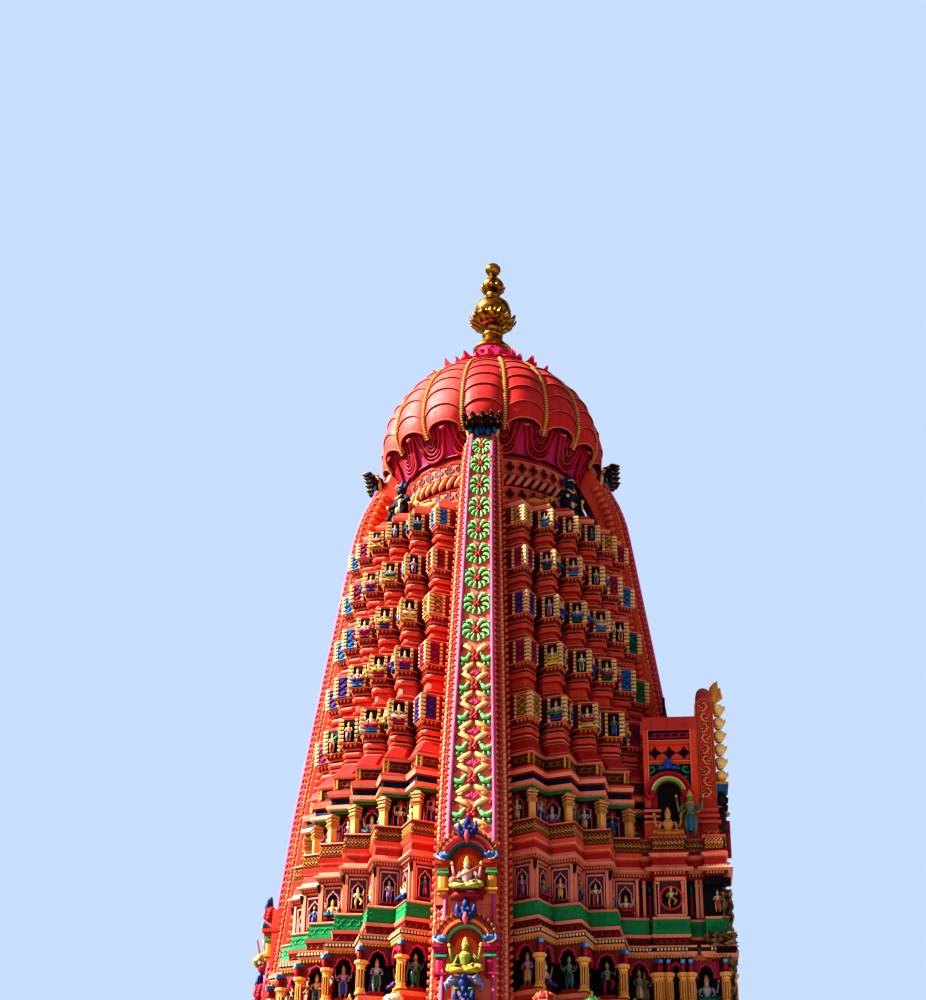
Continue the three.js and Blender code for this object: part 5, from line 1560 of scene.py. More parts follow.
def band_relief(cast, quarters, foot):
    """The carved panel, the rails and the flowers of a band."""
    straight = np.arange(ceil(foot * 2 + 0.2) / 2, NECK_TOP, 0.5)
    rail_heights = np.concatenate([[foot], straight, [24.1, 24.2]])
    for side in (-1, 1):
        line = [on_band(z, side * (read(BAND_FACE, z) - 0.005), 0.018)[:, 3] for z in rail_heights]
        cast.add(limb(line, 0.042, 6), RAIL_PINK, quarter_turned(HERE, quarters), True)
        line = [on_band(z, side * (read(BAND_HALF, z) - 0.01), -0.02)[:, 3] for z in rail_heights]
        cast.add(limb(line, 0.022, 5), paint(236, 116, 96), quarter_turned(HERE, quarters), True)
    z, low_spots, high_spots = NECK_TOP, [], []
    panel_end = 15.0 if foot < 10.0 else foot + 0.35
    while z > panel_end:
        pitch = 0.56 + (NECK_TOP - z) * 0.0175
        (high_spots if z > 19.0 else low_spots).append(z - pitch / 2)
        z -= pitch
    for heights, low in ((high_spots, False), (low_spots, True)):
        if not heights:
            continue
        scales = np.array([read(BAND_FACE, h) / 0.41 for h in heights])
        spots = band_spots(heights, 0.0)
        spots[:, :, 0] *= scales[:, None]
        spots[:, :, 2] *= (1.0 if low else 0.88)
        spots = quarter_turned(spots, quarters)
        cast.add(pair(BIRD if low else LEAF_SPRAY), LIGHT_GREEN if low else paint(140, 232, 134), spots, True)
        if low:
            cast.add(ROSETTE, PANEL_RED, spots, True)
            cast.add(gathered(pair(X_LEAF), pair(mirrored(X_LEAF, (1, 1, -1)))), LEAF_OCHRE, spots, True)
            cast.add(blob((0, -0.05, 0), (0.02, 0.02, 0.02), 6, 3), LEAF_CREAM, spots, True)
            cast.add(pair(blob((0.33, -0.02, 0.2), (0.035, 0.025, 0.045), 6, 3)), PANEL_RED, spots, True)
            cast.add(pair(leaf(((0.3, -0.22), (0.36, -0.17), (0.37, -0.1)), 0.026)), GREEN, spots, True)
            cast.add(FAN, paint(232, 70, 130), spots, True)
        else:
            cast.add(pair(SPRAY_STEMS), paint(206, 236, 160), spots, True)
            cast.add(gathered(
                blob((0, -0.05, 0), (0.024, 0.02, 0.024), 6, 3),
                pair(blob((0.2, -0.03, 0.13), (0.024, 0.03, 0.024), 5, 3))), LEAF_CREAM, spots, True)
            cast.add(
                gathered(ROSETTE, pair(blob((0.36, -0.02, 0.24), (0.03, 0.025, 0.05), 6, 3))), PANEL_RED,
                spots, True)
            cast.add(gathered(
                blob((0, -0.03, 0.27), (0.045, 0.03, 0.045), 6, 3),
                pair(leaf(((0.05, 0.27), (0.1, 0.29), (0.14, 0.26)), 0.016))), PINK, spots, True)
    edge_heights = np.arange(foot + 0.1, 24.05, 0.135)
    sunny = quarters == (0,)
    flower = paint(206, 24, 40) if sunny else paint(216, 44, 40)
    lump = EDGE_LUMP if sunny else paint(246, 124, 78)
    for side in (-1, 1):
        cast.add(FLOWER, flower, band_spots(edge_heights, (side, 0.42), 0.0, quarters), True)
        cast.add(
            boss(0, 0, 0.04, 0.036), lump, band_spots(edge_heights + 0.06, (side, 0.14), 0.0, quarters),
            True)
        outer_heights = np.arange(foot + 0.1, NECK_TOP, 0.155)
        cast.add(
            gathered(blob((0, -0.015, 0.02), (0.055, 0.045, 0.05), 5, 4), boss(0, -0.045, 0.036, 0.048)),
            lump, band_spots(outer_heights, (side, 0.78), 0.0, quarters), True)
        sides = band_spots(outer_heights, (side, 1.0))
        back, lobe = (0.15, (0.05, 0.13, 0.062)) if sunny else (0.22, (0.09, 0.2, 0.07))
        sides[:, :, 3] += (0.0, back, 0.0)
        cast.add(blob((0, 0, 0), lobe, 5, 4), paint(244, 110, 62), quarter_turned(sides, quarters), True)


for band_name, band_quarters, band_foot in (
        ("south", (0,), 9.5), ("east", (1,), 17.45), ("north", (2,), 9.5), ("west", (3,), 9.5)):
    band = Cast()
    band_body(band, band_quarters, band_foot)
    band_relief(band, band_quarters, band_foot)
    band.make(f"band_{band_name}_rib", painted_plaster, "band_paint", f"band_{band_name}")

# Scroll heads: the curled end of each band against the dome, modelled in plaster over wire as
# a dark leaf scroll with gold edges and a blue and red heart.


def scroll_head(cast, place):
    """A fan of leaves that rises out of the band's top, leans outward and curls over."""
    dark, gold = paint(34, 24, 20), paint(232, 184, 104)
    neck = (
        (0.0, 23.98, 0.29), (-0.08, 24.1, 0.28), (-0.13, 24.24, 0.29), (-0.16, 24.4, 0.33),
        (-0.22, 24.54, 0.37), (-0.32, 24.6, 0.38), (-0.4, 24.54, 0.36))
    body = [[
        (-w, y, z), (-w * 0.5, y - 0.03, z), (w * 0.5, y - 0.03, z), (w, y, z), (w, y + 0.1, z - 0.05),
        (-w, y + 0.1, z - 0.05)] for y, z, w in neck]
    cast.add(stacked(np.array(body)), paint(120, 24, 26), place, True)
    cast.add(pair(limb(
        [(w, y - 0.03, z) for y, z, w in neck] + [(0.35, -0.4, 24.46), (0.34, -0.33, 24.44)],
        (0.03, 0.045, 0.05, 0.05, 0.05, 0.045, 0.04, 0.03, 0.012), 6)), gold, place, True)
    for x, grow in ((-0.38, 0.7), (-0.2, 0.92), (0.0, 1.0), (0.2, 0.92), (0.38, 0.7)):
        for out, rise, thick in ((0.34, 0.16, 0.075), (0.3, 0.04, 0.065), (0.22, -0.06, 0.05)):
            feather = [
                (x * 0.9, -0.22, 24.46 + rise * 0.6), (x, -0.24 - out * 0.5, 24.5 + rise * grow),
                (x * 1.03, -0.24 - out * 0.85, 24.46 + rise * grow),
                (x * 1.04, -0.26 - out, 24.5 + rise * grow)]
            cast.add(limb(feather, (0.06, thick, thick * 0.7, 0.01), 6), dark, place, True)
            rim = [(px, y - 0.01, z + thick * 0.8) for px, y, z in feather[1:3]] + [feather[3]]
            cast.add(limb(rim, (0.02, 0.024, 0.008), 5), gold, place, True)
    cast.add(gathered(
        pair(blob((0.12, -0.27, 24.3), (0.07, 0.06, 0.12), 8, 5)),
        pair(blob((0.26, -0.28, 24.36), (0.06, 0.04, 0.08), 7, 4))), paint(30, 110, 140), place, True)
    cast.add(gathered(
        blob((0, -0.3, 24.34), (0.08, 0.07, 0.12), 8, 5),
        pair(blob((0.1, -0.2, 24.14), (0.05, 0.04, 0.06), 7, 4))), paint(24, 60, 130), place, True)
    cast.add(slab(0.31, -0.08, 0.3, 23.98, 24.05), paint(240, 150, 110), place)


for head_name, head_quarter in (("south", 0), ("east", 1), ("north", 2), ("west", 3)):
    head = Cast()
    scroll_head(head, facing(radians(90 * head_quarter - 90), 2.36, -0.1)[None])
    head.make(f"scroll_{head_name}", painted_plaster, "ochre_paint", f"scroll_head_{head_name}")

# Shrines on the foot of the bands: three arched shrines stacked on the south, north and west
# bands. Each has stout pillars, a many-coloured arch with gilt flames, sea beasts at its ends,
# and a seated figure before a red hollow.

SHRINE_BASES = (9.78, 11.4, 13.0)
SHRINE_FACE = (4.97, 4.8, 4.69)
SHRINE_PAINTS = (
    ((224, 120, 110), (180, 20, 50), (70, 110, 180), (150, 210, 130)),
    ((190, 24, 54), (226, 150, 60), (190, 24, 54), (110, 206, 130)),
    ((236, 124, 110), (180, 24, 44), (226, 110, 90), (30, 120, 124)))
NAVY = paint(30, 58, 128)
SEA_BLUE = paint(56, 130, 206)
SEA_GREEN = paint(50, 190, 140)


def arch_ring(cast, place, spring, outer, width, front, back, colour, rise=None):
    """One coloured moulding of an arch."""
    inner = arch_line(outer - width, spring, (rise or outer) - width, count=21)
    cast.add(strip(inner, arch_line(outer, spring, rise or outer, count=21), front, back), colour, place)


def foot_shrine(cast, place, tier, flame_paint):
    """A shrine with its pillars, arch, flames, beasts and figure; z counts from its base."""
    spring, upper = 0.82, tier == 2
    column = OCHRE if upper else paint(196, 26, 84)
    cap_paint = paint(200, 66, 50) if upper else paint(206, 30, 90)
    cast.add(slab(0.6, 0.02, 0.5, 0.0, 1.2), paint(226, 84, 60), place)
    cast.add(
        gathered(slab(0.58, -0.02, 0.4, 0.0, 0.06), pair(block(0.3, 0.57, -0.02, 0.3, 0.06, 0.18))),
        paint(240, 132, 100), place)
    hollow = board([(0.32, 0.1)] + arch_line(0.33, spring, 0.33)[::-1] + [(-0.32, 0.1)], -0.002, 0.02)
    cast.add(hollow, paint(206, 56, 26), place)
    cast.add(niche_board(0.2, 0.3, spring - 0.05, 0.2, -0.01), paint(240, 110, 40), place)
    posts = beside(place, 0.45, y=-0.02, z=0.18)
    shaft = turned(
        [(0.1, 0.0), (0.105, 0.04), (0.08, 0.07), (0.1, 0.12), (0.1, 0.33), (0.08, 0.36), (0.085, 0.4)], 8,
        pi / 8)
    cast.add(shaft, column, posts)
    for low, wide, colour in ((0.06, 0.115, column), (0.39, 0.11, SEA_GREEN), (0.45, 0.1, column)):
        cast.add(slab(wide, -wide, wide, low, low + 0.045), colour, posts)
    cast.add(
        gathered(slab(0.16, -0.15, 0.2, 0.56, 0.63), slab(0.13, -0.12, 0.2, 0.5, 0.56)), cap_paint, posts)
    for outer, width, front, shade in zip(
            (0.52, 0.455, 0.4, 0.355), (0.07, 0.06, 0.05, 0.045), (-0.15, -0.17, -0.15, -0.13),
            SHRINE_PAINTS[tier]):
        arch_ring(cast, place, spring, outer, width, front, 0.1, paint(*shade), outer * 0.98)
    flames = []
    for turn in np.linspace(0.42, pi - 0.42, 14):
        if abs(turn - pi / 2) > 0.2:
            spot = np.array([0.56 * cos(turn), -0.08, spring + 0.55 * sin(turn)])
            way = np.array([cos(turn), 0, sin(turn)])
            flames += [
                blob(spot, (0.052, 0.07, 0.056), 6, 4),
                limb([spot - (0, 0.05, 0), spot + way * 0.03 + (0, -0.1, 0.01)], (0.035, 0.012), 5)]
    cast.add(gathered(*flames), flame_paint, place, True)
    beast = gathered(
        blob((0.45, -0.14, spring + 0.06), (0.1, 0.08, 0.085), 8, 5),
        limb(
            [(0.42, -0.18, spring + 0.1), (0.36, -0.22, spring + 0.05), (0.33, -0.2, spring + 0.12)],
            (0.045, 0.035, 0.012), 6),
        limb(
            [(0.5, -0.14, spring + 0.02), (0.57, -0.16, spring + 0.08), (0.53, -0.14, spring + 0.16)],
            (0.05, 0.04, 0.012), 6))
    cast.add(pair(beast), SEA_BLUE, place, True)
    cast.add(pair(gathered(
        blob((0.41, -0.22, spring + 0.11), (0.022, 0.02, 0.022), 6, 3),
        limb([(0.4, -0.2, spring - 0.02), (0.5, -0.2, spring), (0.56, -0.18, spring + 0.06)], 0.02, 5))),
        CREAM, place, True)
    crest = sized(shifted(place, y=-0.16, z=spring + 0.53), 1.4)
    curls = [limb([
        (0.03, 0.01, -0.08), (0.06 + 0.05 * i, -0.02, 0.05 * i - 0.02),
        (0.1 + 0.015 * i, 0, 0.06 + 0.09 * i)], (0.045, 0.04, 0.012), 6) for i in range(2)]
    cast.add(gathered(
        blob((0, 0, 0), (0.075, 0.06, 0.11), 8, 5), pair(gathered(*curls)),
        limb([(0, 0, 0.05), (0, 0, 0.16), (0, 0.02, 0.22)], (0.055, 0.045, 0.012), 6)), NAVY, crest, True)
    cast.add(pair(gathered(
        blob((0.035, -0.06, 0.05), (0.02, 0.014, 0.022), 6, 3),
        blob((0.11, -0.03, 0.08), (0.02, 0.02, 0.04), 6, 3))), SEA_BLUE, crest, True)
    cast.add(
        limb([(0, -0.05, 0), (0, -0.07, -0.08), (0, -0.02, -0.17)], (0.02, 0.04, 0.008), 6),
        paint(226, 90, 100), crest, True)
    cushion = paint(160, 14, 44) if upper else paint(130, 124, 168)
    cast.add(blob((0, -0.16, 0.12), (0.3, 0.17, 0.09), 12, 5), cushion, place, True)
    skin = paints((226, 190, 210), (150, 160, 60), (226, 178, 186))[tier]
    cloth = paints((60, 110, 190), (206, 170, 50), (190, 186, 96))[tier]
    place_figures(cast, shifted(place, y=-0.15, z=0.2), 0.98 if upper else 1.04, skin, cloth, "seated")
    if upper:
        cast.add(gathered(
            limb([(-0.26, -0.3, 0.36), (-0.1, -0.32, 0.44), (0.32, -0.32, 0.66)], (0.02, 0.024, 0.018), 6),
            blob((-0.24, -0.31, 0.36), (0.08, 0.05, 0.08), 8, 5)), paint(206, 130, 90), place, True)
        return
    wings = [limb([
        (0.08, -0.24, 0.08), (0.22 + 0.06 * i, -0.28, 0.16 - 0.07 * i),
        (0.34 - 0.02 * i, -0.24, 0.06 - 0.08 * i)], (0.04, 0.05, 0.02), 6) for i in range(3)]
    cast.add(pair(gathered(*wings)), paint(150, 150, 190), place, True)
    cast.add(gathered(
        blob((0, -0.32, 0.04), (0.11, 0.08, 0.12), 8, 5),
        blob((0, -0.38, 0.13), (0.065, 0.06, 0.065), 8, 5)), NAVY, place, True)
    cast.add(pair(blob((0.12, -0.34, -0.08), (0.07, 0.06, 0.035), 6, 4)), GREEN, place, True)


for shrine_side, quarter in (("south", 0), ("north", 2), ("west", 3)):
    shrines = Cast()
    for tier in range(3):
        spot = facing(radians(90 * quarter - 90), SHRINE_FACE[tier] - 0.28, SHRINE_BASES[tier])[None]
        flames = paint(190, 24, 40) if quarter == 3 else paint(196, 132, 60)
        foot_shrine(shrines, shifted(spot, x=-0.05), tier, flames)
    shrines.make(f"stacked_shrines_{shrine_side}", painted_plaster, "ochre_paint", f"shrines_{shrine_side}")

# Porch storeys: the projecting front of the temple, built and painted like the tower's storeys,
# with a bay on each flank. The outer corner on the south flank has lost its plaster and part of
# its brick at the height of the two upper storeys, and was never mended.

PORCH_HALF, PORCH_FRONT = 2.65, 4.7
BAY_X, BAY_DEPTH, FRONT_BAY_Y = (3.42, 3.95, 4.42), 0.2, (1.9, 0.9)
FLANK_BAYS = ((3.12, BAY_DEPTH, 0.5), (3.685, 0.0, 0.6), (4.2, BAY_DEPTH, 0.44), (4.56, 0.0, 0.34))
FRONT_BAYS = (
    (-2.275, 0.0, 0.8), (-1.4, BAY_DEPTH, 0.96), (0.0, 0.0, 1.86), (1.4, BAY_DEPTH, 0.96),
    (2.275, 0.0, 0.8))


def porch_ring(out, z, ease=0.0):
    """The porch's plan: a bay on each flank and a middle bay in front, with no corner eased."""
    side, front = PORCH_HALF + out, PORCH_FRONT + out
    recess, back = side - BAY_DEPTH, front - BAY_DEPTH
    south = [
        (2.6, -recess), (BAY_X[0] - out, -recess), (BAY_X[0] - out, -side), (BAY_X[1] + out, -side),
        (BAY_X[1] + out, -recess), (BAY_X[2] - out, -recess), (BAY_X[2] - out, -side), (front, -side),
        (front, out - FRONT_BAY_Y[0]), (back, out - FRONT_BAY_Y[0]), (back, -FRONT_BAY_Y[1] - out),
        (front, -FRONT_BAY_Y[1] - out)]
    return [(x, y, z) for x, y in south] + [(x, -y, z) for x, y in reversed(south)]


def porch_places(out, flank=(), front=()):
    """Places on the porch: flank gives x and the step back from the bays, front gives y and the same."""
    spots = [(side * pi / 2, x, side * (PORCH_HALF + out - back)) for side in (-1, 1) for x, back in flank]
    spots += [(0.0, PORCH_FRONT + out - back, y) for y, back in front]
    places = np.array([facing(turn, 0.0) for turn, x, y in spots])
    places[:, :2, 3] = [(x, y) for turn, x, y in spots]
    return places


def porch_runs(out):
    """Each bay of the porch with its width."""
    return (
        [(porch_places(out, [(x, back)]), wide) for x, back, wide in FLANK_BAYS]
        + [(porch_places(out, (), [(y, back)]), wide) for y, back, wide in FRONT_BAYS])


PORCH_D = (
    (9.5, 0.23, RED), (9.72, 0.23, SALMON), (9.82, 0.2, DEEP_RED), (9.86, 0.0, RECESS_SHADE_BLACK),
    (10.74, 0.0, RUST), (10.75, 0.14, BROWN_GOLD), (10.85, 0.2, SALMON), (10.92, 0.2, RED),
    (11.0, 0.18, RED), (11.04, 0.06, RED), (11.3, 0.06, ORANGE))
PORCH_C = (
    (11.3, 0.15, ORANGE), (11.42, 0.12, SALMON), (11.5, 0.15, RED), (11.53, -0.14, RECESS_SHADE_BLACK),
    (12.44, -0.14, RUST), (12.45, 0.12, SALMON), (12.5, 0.2, SALMON), (12.54, 0.2, BOTTLE_GREEN),
    (12.62, 0.19, SALMON), (12.66, 0.2, RED), (12.68, 0.06, DEEP_RED), (12.84, 0.09, SALMON),
    (12.9, 0.11, RED))
PORCH_B = (
    (12.9, 0.1, GREEN), (13.2, 0.08, SALMON), (13.24, 0.1, RED), (13.27, 0.0, LILAC), (14.03, -0.02, RED),
    (14.08, 0.08, DEEP_RED), (14.14, 0.1, SALMON), (14.17, 0.2, SALMON), (14.2, 0.18, RED),
    (14.23, 0.1, SALMON), (14.28, 0.06, RED), (14.4, 0.06, RED))
D_FRONT = ((-2.28, 0.0), (-1.4, BAY_DEPTH), (-0.45, 0.0), (0.45, 0.0), (1.4, BAY_DEPTH), (2.28, 0.0))
PILLAR_Y = [(y, 0.03) for y in (-2.62, -1.95, -0.86, 0.0, 0.86, 1.95, 2.62)]

porch_d = Cast()
storey_skin(porch_d, PORCH_D, porch_ring)
arcade(
    porch_d, porch_places(0.12, ((3.7, 0.0), (4.2, BAY_DEPTH), (3.1, BAY_DEPTH)), D_FRONT), 0.5, D_FOOT,
    D_HEAD, MAGENTA)
d_pillars = shifted(porch_places(0.14, ((3.44, 0.03), (3.94, 0.03), (4.6, 0.03)), PILLAR_Y), z=D_FOOT)
turned_pillar(porch_d, d_pillars, 0.56, 0.08)
brackets(porch_d, d_pillars, 0.56, 0.86)
hem_fourth(porch_d, porch_runs, 0.15, 0.18)
porch_d.make("porch_fourth_storey", painted_plaster, "orange_paint", "porch_storey_d")

porch_c = Cast()
storey_skin(porch_c, PORCH_C, porch_ring)
PORCH_C_FOOT = 11.53
c_flank = porch_places(0.06, ((3.14, BAY_DEPTH), (4.3, BAY_DEPTH - 0.03)))
arcade(porch_c, c_flank, 0.5, PORCH_C_FOOT, C_HEAD, MAGENTA, 0.66)
arcade(porch_c, porch_places(0.06, (), D_FRONT), 0.56, PORCH_C_FOOT, C_HEAD, MAGENTA)
narrow = niche_frame(0.07, 11.53, 12.2, 0.12, 0.07, -0.03, 3)
porch_c.add(narrow, MAGENTA, porch_places(0.06, ((3.735, 0.0),)))
double_x = [(x, 0.03) for x in (3.455, 3.6, 3.87, 4.015, 4.66)]
c_pillars = shifted(porch_places(0.12, double_x, PILLAR_Y), z=PORCH_C_FOOT)
turned_pillar(porch_c, c_pillars, 0.62, 0.072)
brackets(porch_c, c_pillars, 0.62, 0.92)
hem_third(porch_c, porch_runs, 0.17, 0.205, 0.075)
porch_c.make("porch_third_storey", painted_plaster, "orange_paint", "porch_storey_c")

porch_b = Cast()
storey_skin(porch_b, PORCH_B, porch_ring)
medallions = porch_places(0.0, ((3.7, 0.0),))
MEDALLION = 13.62
circle = [(cos(t), sin(t)) for t in np.linspace(0, 2 * pi, 21)]
rim_in, rim_out = ([(r * x, MEDALLION + (r + 0.015) * y) for x, y in circle] for r in (0.19, 0.225))
porch_b.add(board(rim_in[:-1], -0.02, 0.02), BLACK_AND_HOLLOW_SHADE, medallions)
porch_b.add(strip(rim_in[::-1], rim_out[::-1], -0.06, 0.0), paint(222, 70, 60), medallions)
lumps = [blob((0.24 * x, -0.03, MEDALLION + 0.255 * y), (0.026, 0.03, 0.026), 5, 3) for x, y in circle[:-1]]
porch_b.add(gathered(*lumps), CRIMSON, medallions)
porch_b.add(gathered(
    pair(block(0.25, 0.3, -0.05, 0.02, PANEL_FOOT, PANEL_HEAD)), slab(0.28, -0.06, 0.02, 13.97, PANEL_HEAD),
    slab(0.28, -0.08, 0.02, 13.24, 13.3)), SALMON, medallions)
place_figures(porch_b, shifted(medallions, y=-0.06, z=13.4), 0.44, paint(240, 210, 130), OCHRE, "dancing")
slots = porch_places(0.0, ((3.3, BAY_DEPTH), (4.09, BAY_DEPTH), (3.08, BAY_DEPTH)))
# The slots are near black: painted shade in the recesses.
porch_b.add(slab(0.085, -0.015, 0.02, 13.3, 14.02), BLACK_AND_HOLLOW_SHADE, slots)
column = turned([
    (0.045, 13.32), (0.05, 13.38), (0.035, 13.4), (0.05, 13.48), (0.035, 13.5), (0.05, 13.6), (0.03, 13.64),
    (0.045, 13.72), (0.02, 13.76)], 6)
porch_b.add(column, paint(150, 26, 74), shifted(slots, y=-0.03))
porch_b.add(blob((0, -0.02, 13.86), (0.045, 0.03, 0.09), 6, 4), paint(40, 110, 60), slots, True)
posts_x = [(x, BAY_DEPTH) for x in (3.19, 3.4)] + [
    (3.45, 0.0), (3.93, 0.0), (4.2, BAY_DEPTH), (4.28, BAY_DEPTH)]
posts = porch_places(0.0, posts_x)
porch_b.add(
    gathered(slab(0.03, -0.05, 0.02, PANEL_FOOT, PANEL_HEAD), slab(0.04, -0.06, 0.02, 13.9, 13.94)), SALMON,
    posts)
framed_faces(porch_b, porch_places(0.0, ((4.56, 0.0),), D_FRONT)[1:], 0.52)
hem_second(porch_b, porch_runs, 0.1, 0.09)
porch_b.make("porch_second_storey", painted_plaster, "orange_paint", "porch_storey_b")

# Broken corner: where the plaster fell off, rough brown brick core shows behind a ragged edge,
# and the niche beside it is an empty hole.


def rough_core_material():
    """Broken brick and old mortar, dusty and uneven."""
    material, tree, shader = new_material("broken brick core")
    lumps, brick = mottled(tree, 9.0, 8.0, (0.38, (80, 56, 36)), (0.66, (190, 160, 116)))
    rough = add_node(tree, "MapRange", {"Value": lumps, "To Min": 0.8, "To Max": 1.0})
    surface(tree, shader, brick, rough.outputs[0], lumps, 0.9, 0.04)
    return material


broken_core = rough_core_material()


def ragged_lump(x0, x1, z0, z1, y, deep, seed):
    """A ragged face of broken brick between the given ends, facing south."""
    rough_dice = np.random.default_rng(seed)
    across, up = 9, 15
    points = []
    for j in range(up):
        for i in range(across):
            edge = min(i, across - 1 - i, j, up - 1 - j) > 0
            points.append((
                x0 + (x1 - x0) * i / (across - 1) + rough_dice.uniform(-0.03, 0.03),
                y - (rough_dice.uniform(0, deep) if edge else -0.05),
                z0 + (z1 - z0) * j / (up - 1) + rough_dice.uniform(-0.03, 0.03)))
    faces = [
        (j * across + i, j * across + i + 1, (j + 1) * across + i + 1, (j + 1) * across + i)
        for j in range(up - 1) for i in range(across - 1)]
    return points, faces


broken = Cast()
for lump in (
        (4.64, 4.86, 12.6, 13.8, -2.66, 0.13, 3), (4.3, 4.9, 12.64, 12.92, -2.78, 0.16, 4),
        (4.7, 4.86, 10.9, 12.6, -2.68, 0.14, 5)):
    broken.add(ragged_lump(*lump), OCHRE)
broken.make("broken_corner_core", broken_core, "orange_paint")
hole = Cast()
# The black blocks stand for the empty hole and its broken edges: painted shade.
hole.add(gathered(
    block(4.36, 4.66, -2.68, -2.5, 13.3, 14.0), block(4.32, 4.84, -2.76, -2.6, 13.86, 14.0),
    block(4.5, 4.86, -2.88, -2.7, 12.5, 12.62)), BLACK_AND_HOLLOW_SHADE)
place_figures(
    hole, shifted(porch_places(0.03, ((4.58, 0.0),))[:1], z=13.34), 0.42, paint(240, 200, 170),
    paint(210, 60, 60))
hole.make("broken_niche", painted_plaster, "orange_paint")

# Balcony: a parapet of carved ochre panels between a red ledge and a red rail, round the
# porch at the foot of its upper block.

BALCONY_LEVELS = (
    (14.4, 0.08, ORANGE), (14.44, 0.06, SALMON), (14.5, 0.12, RED), (14.56, 0.07, DARK_RELIEF),
    (14.82, 0.06, SALMON), (14.835, 0.09, RED), (14.87, 0.09, RED))
balcony = Cast()
storey_skin(balcony, BALCONY_LEVELS, porch_ring)
carve_balcony(balcony, porch_runs, 0.085)
balcony.make("balcony_parapet", painted_plaster, "ochre_paint", "balcony")

# Upper block of the porch: a plastered box with a round-headed window on each flank under a
# many-coloured hood, a panel pierced by stepped crosses and a dark carved panel above. A neck
# of masonry ties it to the tower.


def shape_at(shape, x, z, y=0.0):
    """A shape moved sideways and up."""
    return np.asarray(shape[0], float) + (x, y, z), shape[1]


BLOCK_X, BLOCK_HALF, BLOCK_FOOT, SILL, BLOCK_EAVE = (3.26, 4.33), 2.1, 14.87, 15.3, 17.3
WINDOW_X, WINDOW_SPRING = 3.74, 15.93
# BLOCK_RED and BLOCK_RIM are painted brighter than the tower's plaster: painted light, for the sun that falls
# on the block.
BLOCK_RED = paint(250, 92, 58)
BLOCK_RIM = paint(255, 150, 112)
upper_block = Cast()
upper_block.add(gathered(
    block(*BLOCK_X, -BLOCK_HALF, BLOCK_HALF, 14.86, 17.2), block(2.9, 3.3, -1.6, 1.6, 14.86, 17.2)),
    BLOCK_RED)
flank = porch_places(BLOCK_HALF - PORCH_HALF, ((WINDOW_X, 0.0),))
quarter_cross = [
    (0.13, 0.022), (0.085, 0.022), (0.085, 0.048), (0.048, 0.048), (0.048, 0.085), (0.022, 0.085)]
cross = [
    (x * c - z * s, 16.82 + x * s + z * c) for c, s in ((1, 0), (0, 1), (-1, 0), (0, -1))
    for x, z in quarter_cross + [(0.022, 0.13)]]
for face, left, right, near, far in (
        (flank[:1], -0.48, 0.59, -0.38, 0.47), (flank[1:], -0.59, 0.48, -0.47, 0.38)):
    middle, wide = (near + far) / 2, far - near
    upper_block.add(gathered(
        block(left, near, -0.05, 0.02, SILL, BLOCK_EAVE), block(far, right, -0.05, 0.02, SILL, BLOCK_EAVE),
        block(near, far, -0.03, 0.02, 17.0, 17.07), block(near, far, -0.03, 0.02, 16.57, 16.64),
        block(left - 0.02, -0.2, -0.1, 0.02, BLOCK_FOOT, SILL),
        block(0.2, right - 0.06, -0.1, 0.02, BLOCK_FOOT, SILL)), BLOCK_RED, face)
    upper_block.add(gathered(
        *[block(x - 0.012, x + 0.012, -0.06, 0.0, 15.6, BLOCK_EAVE) for x in (near, far)],
        *[block(near, far, -0.05, 0.0, z, z + 0.02) for z in (17.29, 17.065, 16.62)]), BLOCK_RIM, face)
    upper_block.add(
        block(left - 0.01, right + 0.01, -0.055, 0.06, BLOCK_EAVE, 17.58), paint(214, 74, 66), face)
    upper_block.add(block(near, far, -0.04, 0.02, 17.08, 17.29), paint(60, 8, 40), face)
    hem(
        upper_block, [(shifted(face, x=middle), wide * 0.96)], scrolls(0.13, 0.018), paint(214, 30, 110),
        0.16, y=-0.045, z=17.185)
    # The stepped crosses are near-black boards: painted shade in the piercings.
    upper_block.add(
        board(cross, -0.005, 0.02), paint(30, 6, 8),
        np.concatenate([shifted(face, x=middle + s) for s in (-0.29, 0, 0.29)]))
    upper_block.add(block(near, far, -0.004, 0.02, 15.98, 16.57), paint(12, 52, 46), face)
    vines = [
        shape_at(curled_leaf(size, 0.022), x, z, -0.02)
        for x, z, size in (
            (-0.34, 16.46, 0.19), (-0.18, 16.52, 0.11), (-0.36, 16.26, 0.15), (-0.36, 16.1, 0.1))]
    upper_block.add(pair(gathered(*vines)), paint(50, 190, 140), shifted(face, x=middle * 0.4))
for rim, wide, front, colour in (
        (0.46, 0.09, -0.12, paint(206, 24, 56)), (0.385, 0.03, -0.14, paint(130, 12, 34)),
        (0.36, 0.055, -0.13, paint(255, 200, 120)), (0.31, 0.045, -0.11, paint(90, 214, 128)),
        (0.27, 0.04, -0.09, paint(150, 24, 34))):
    arch_ring(upper_block, flank, WINDOW_SPRING, rim, wide, front, 0.02, colour, rim)
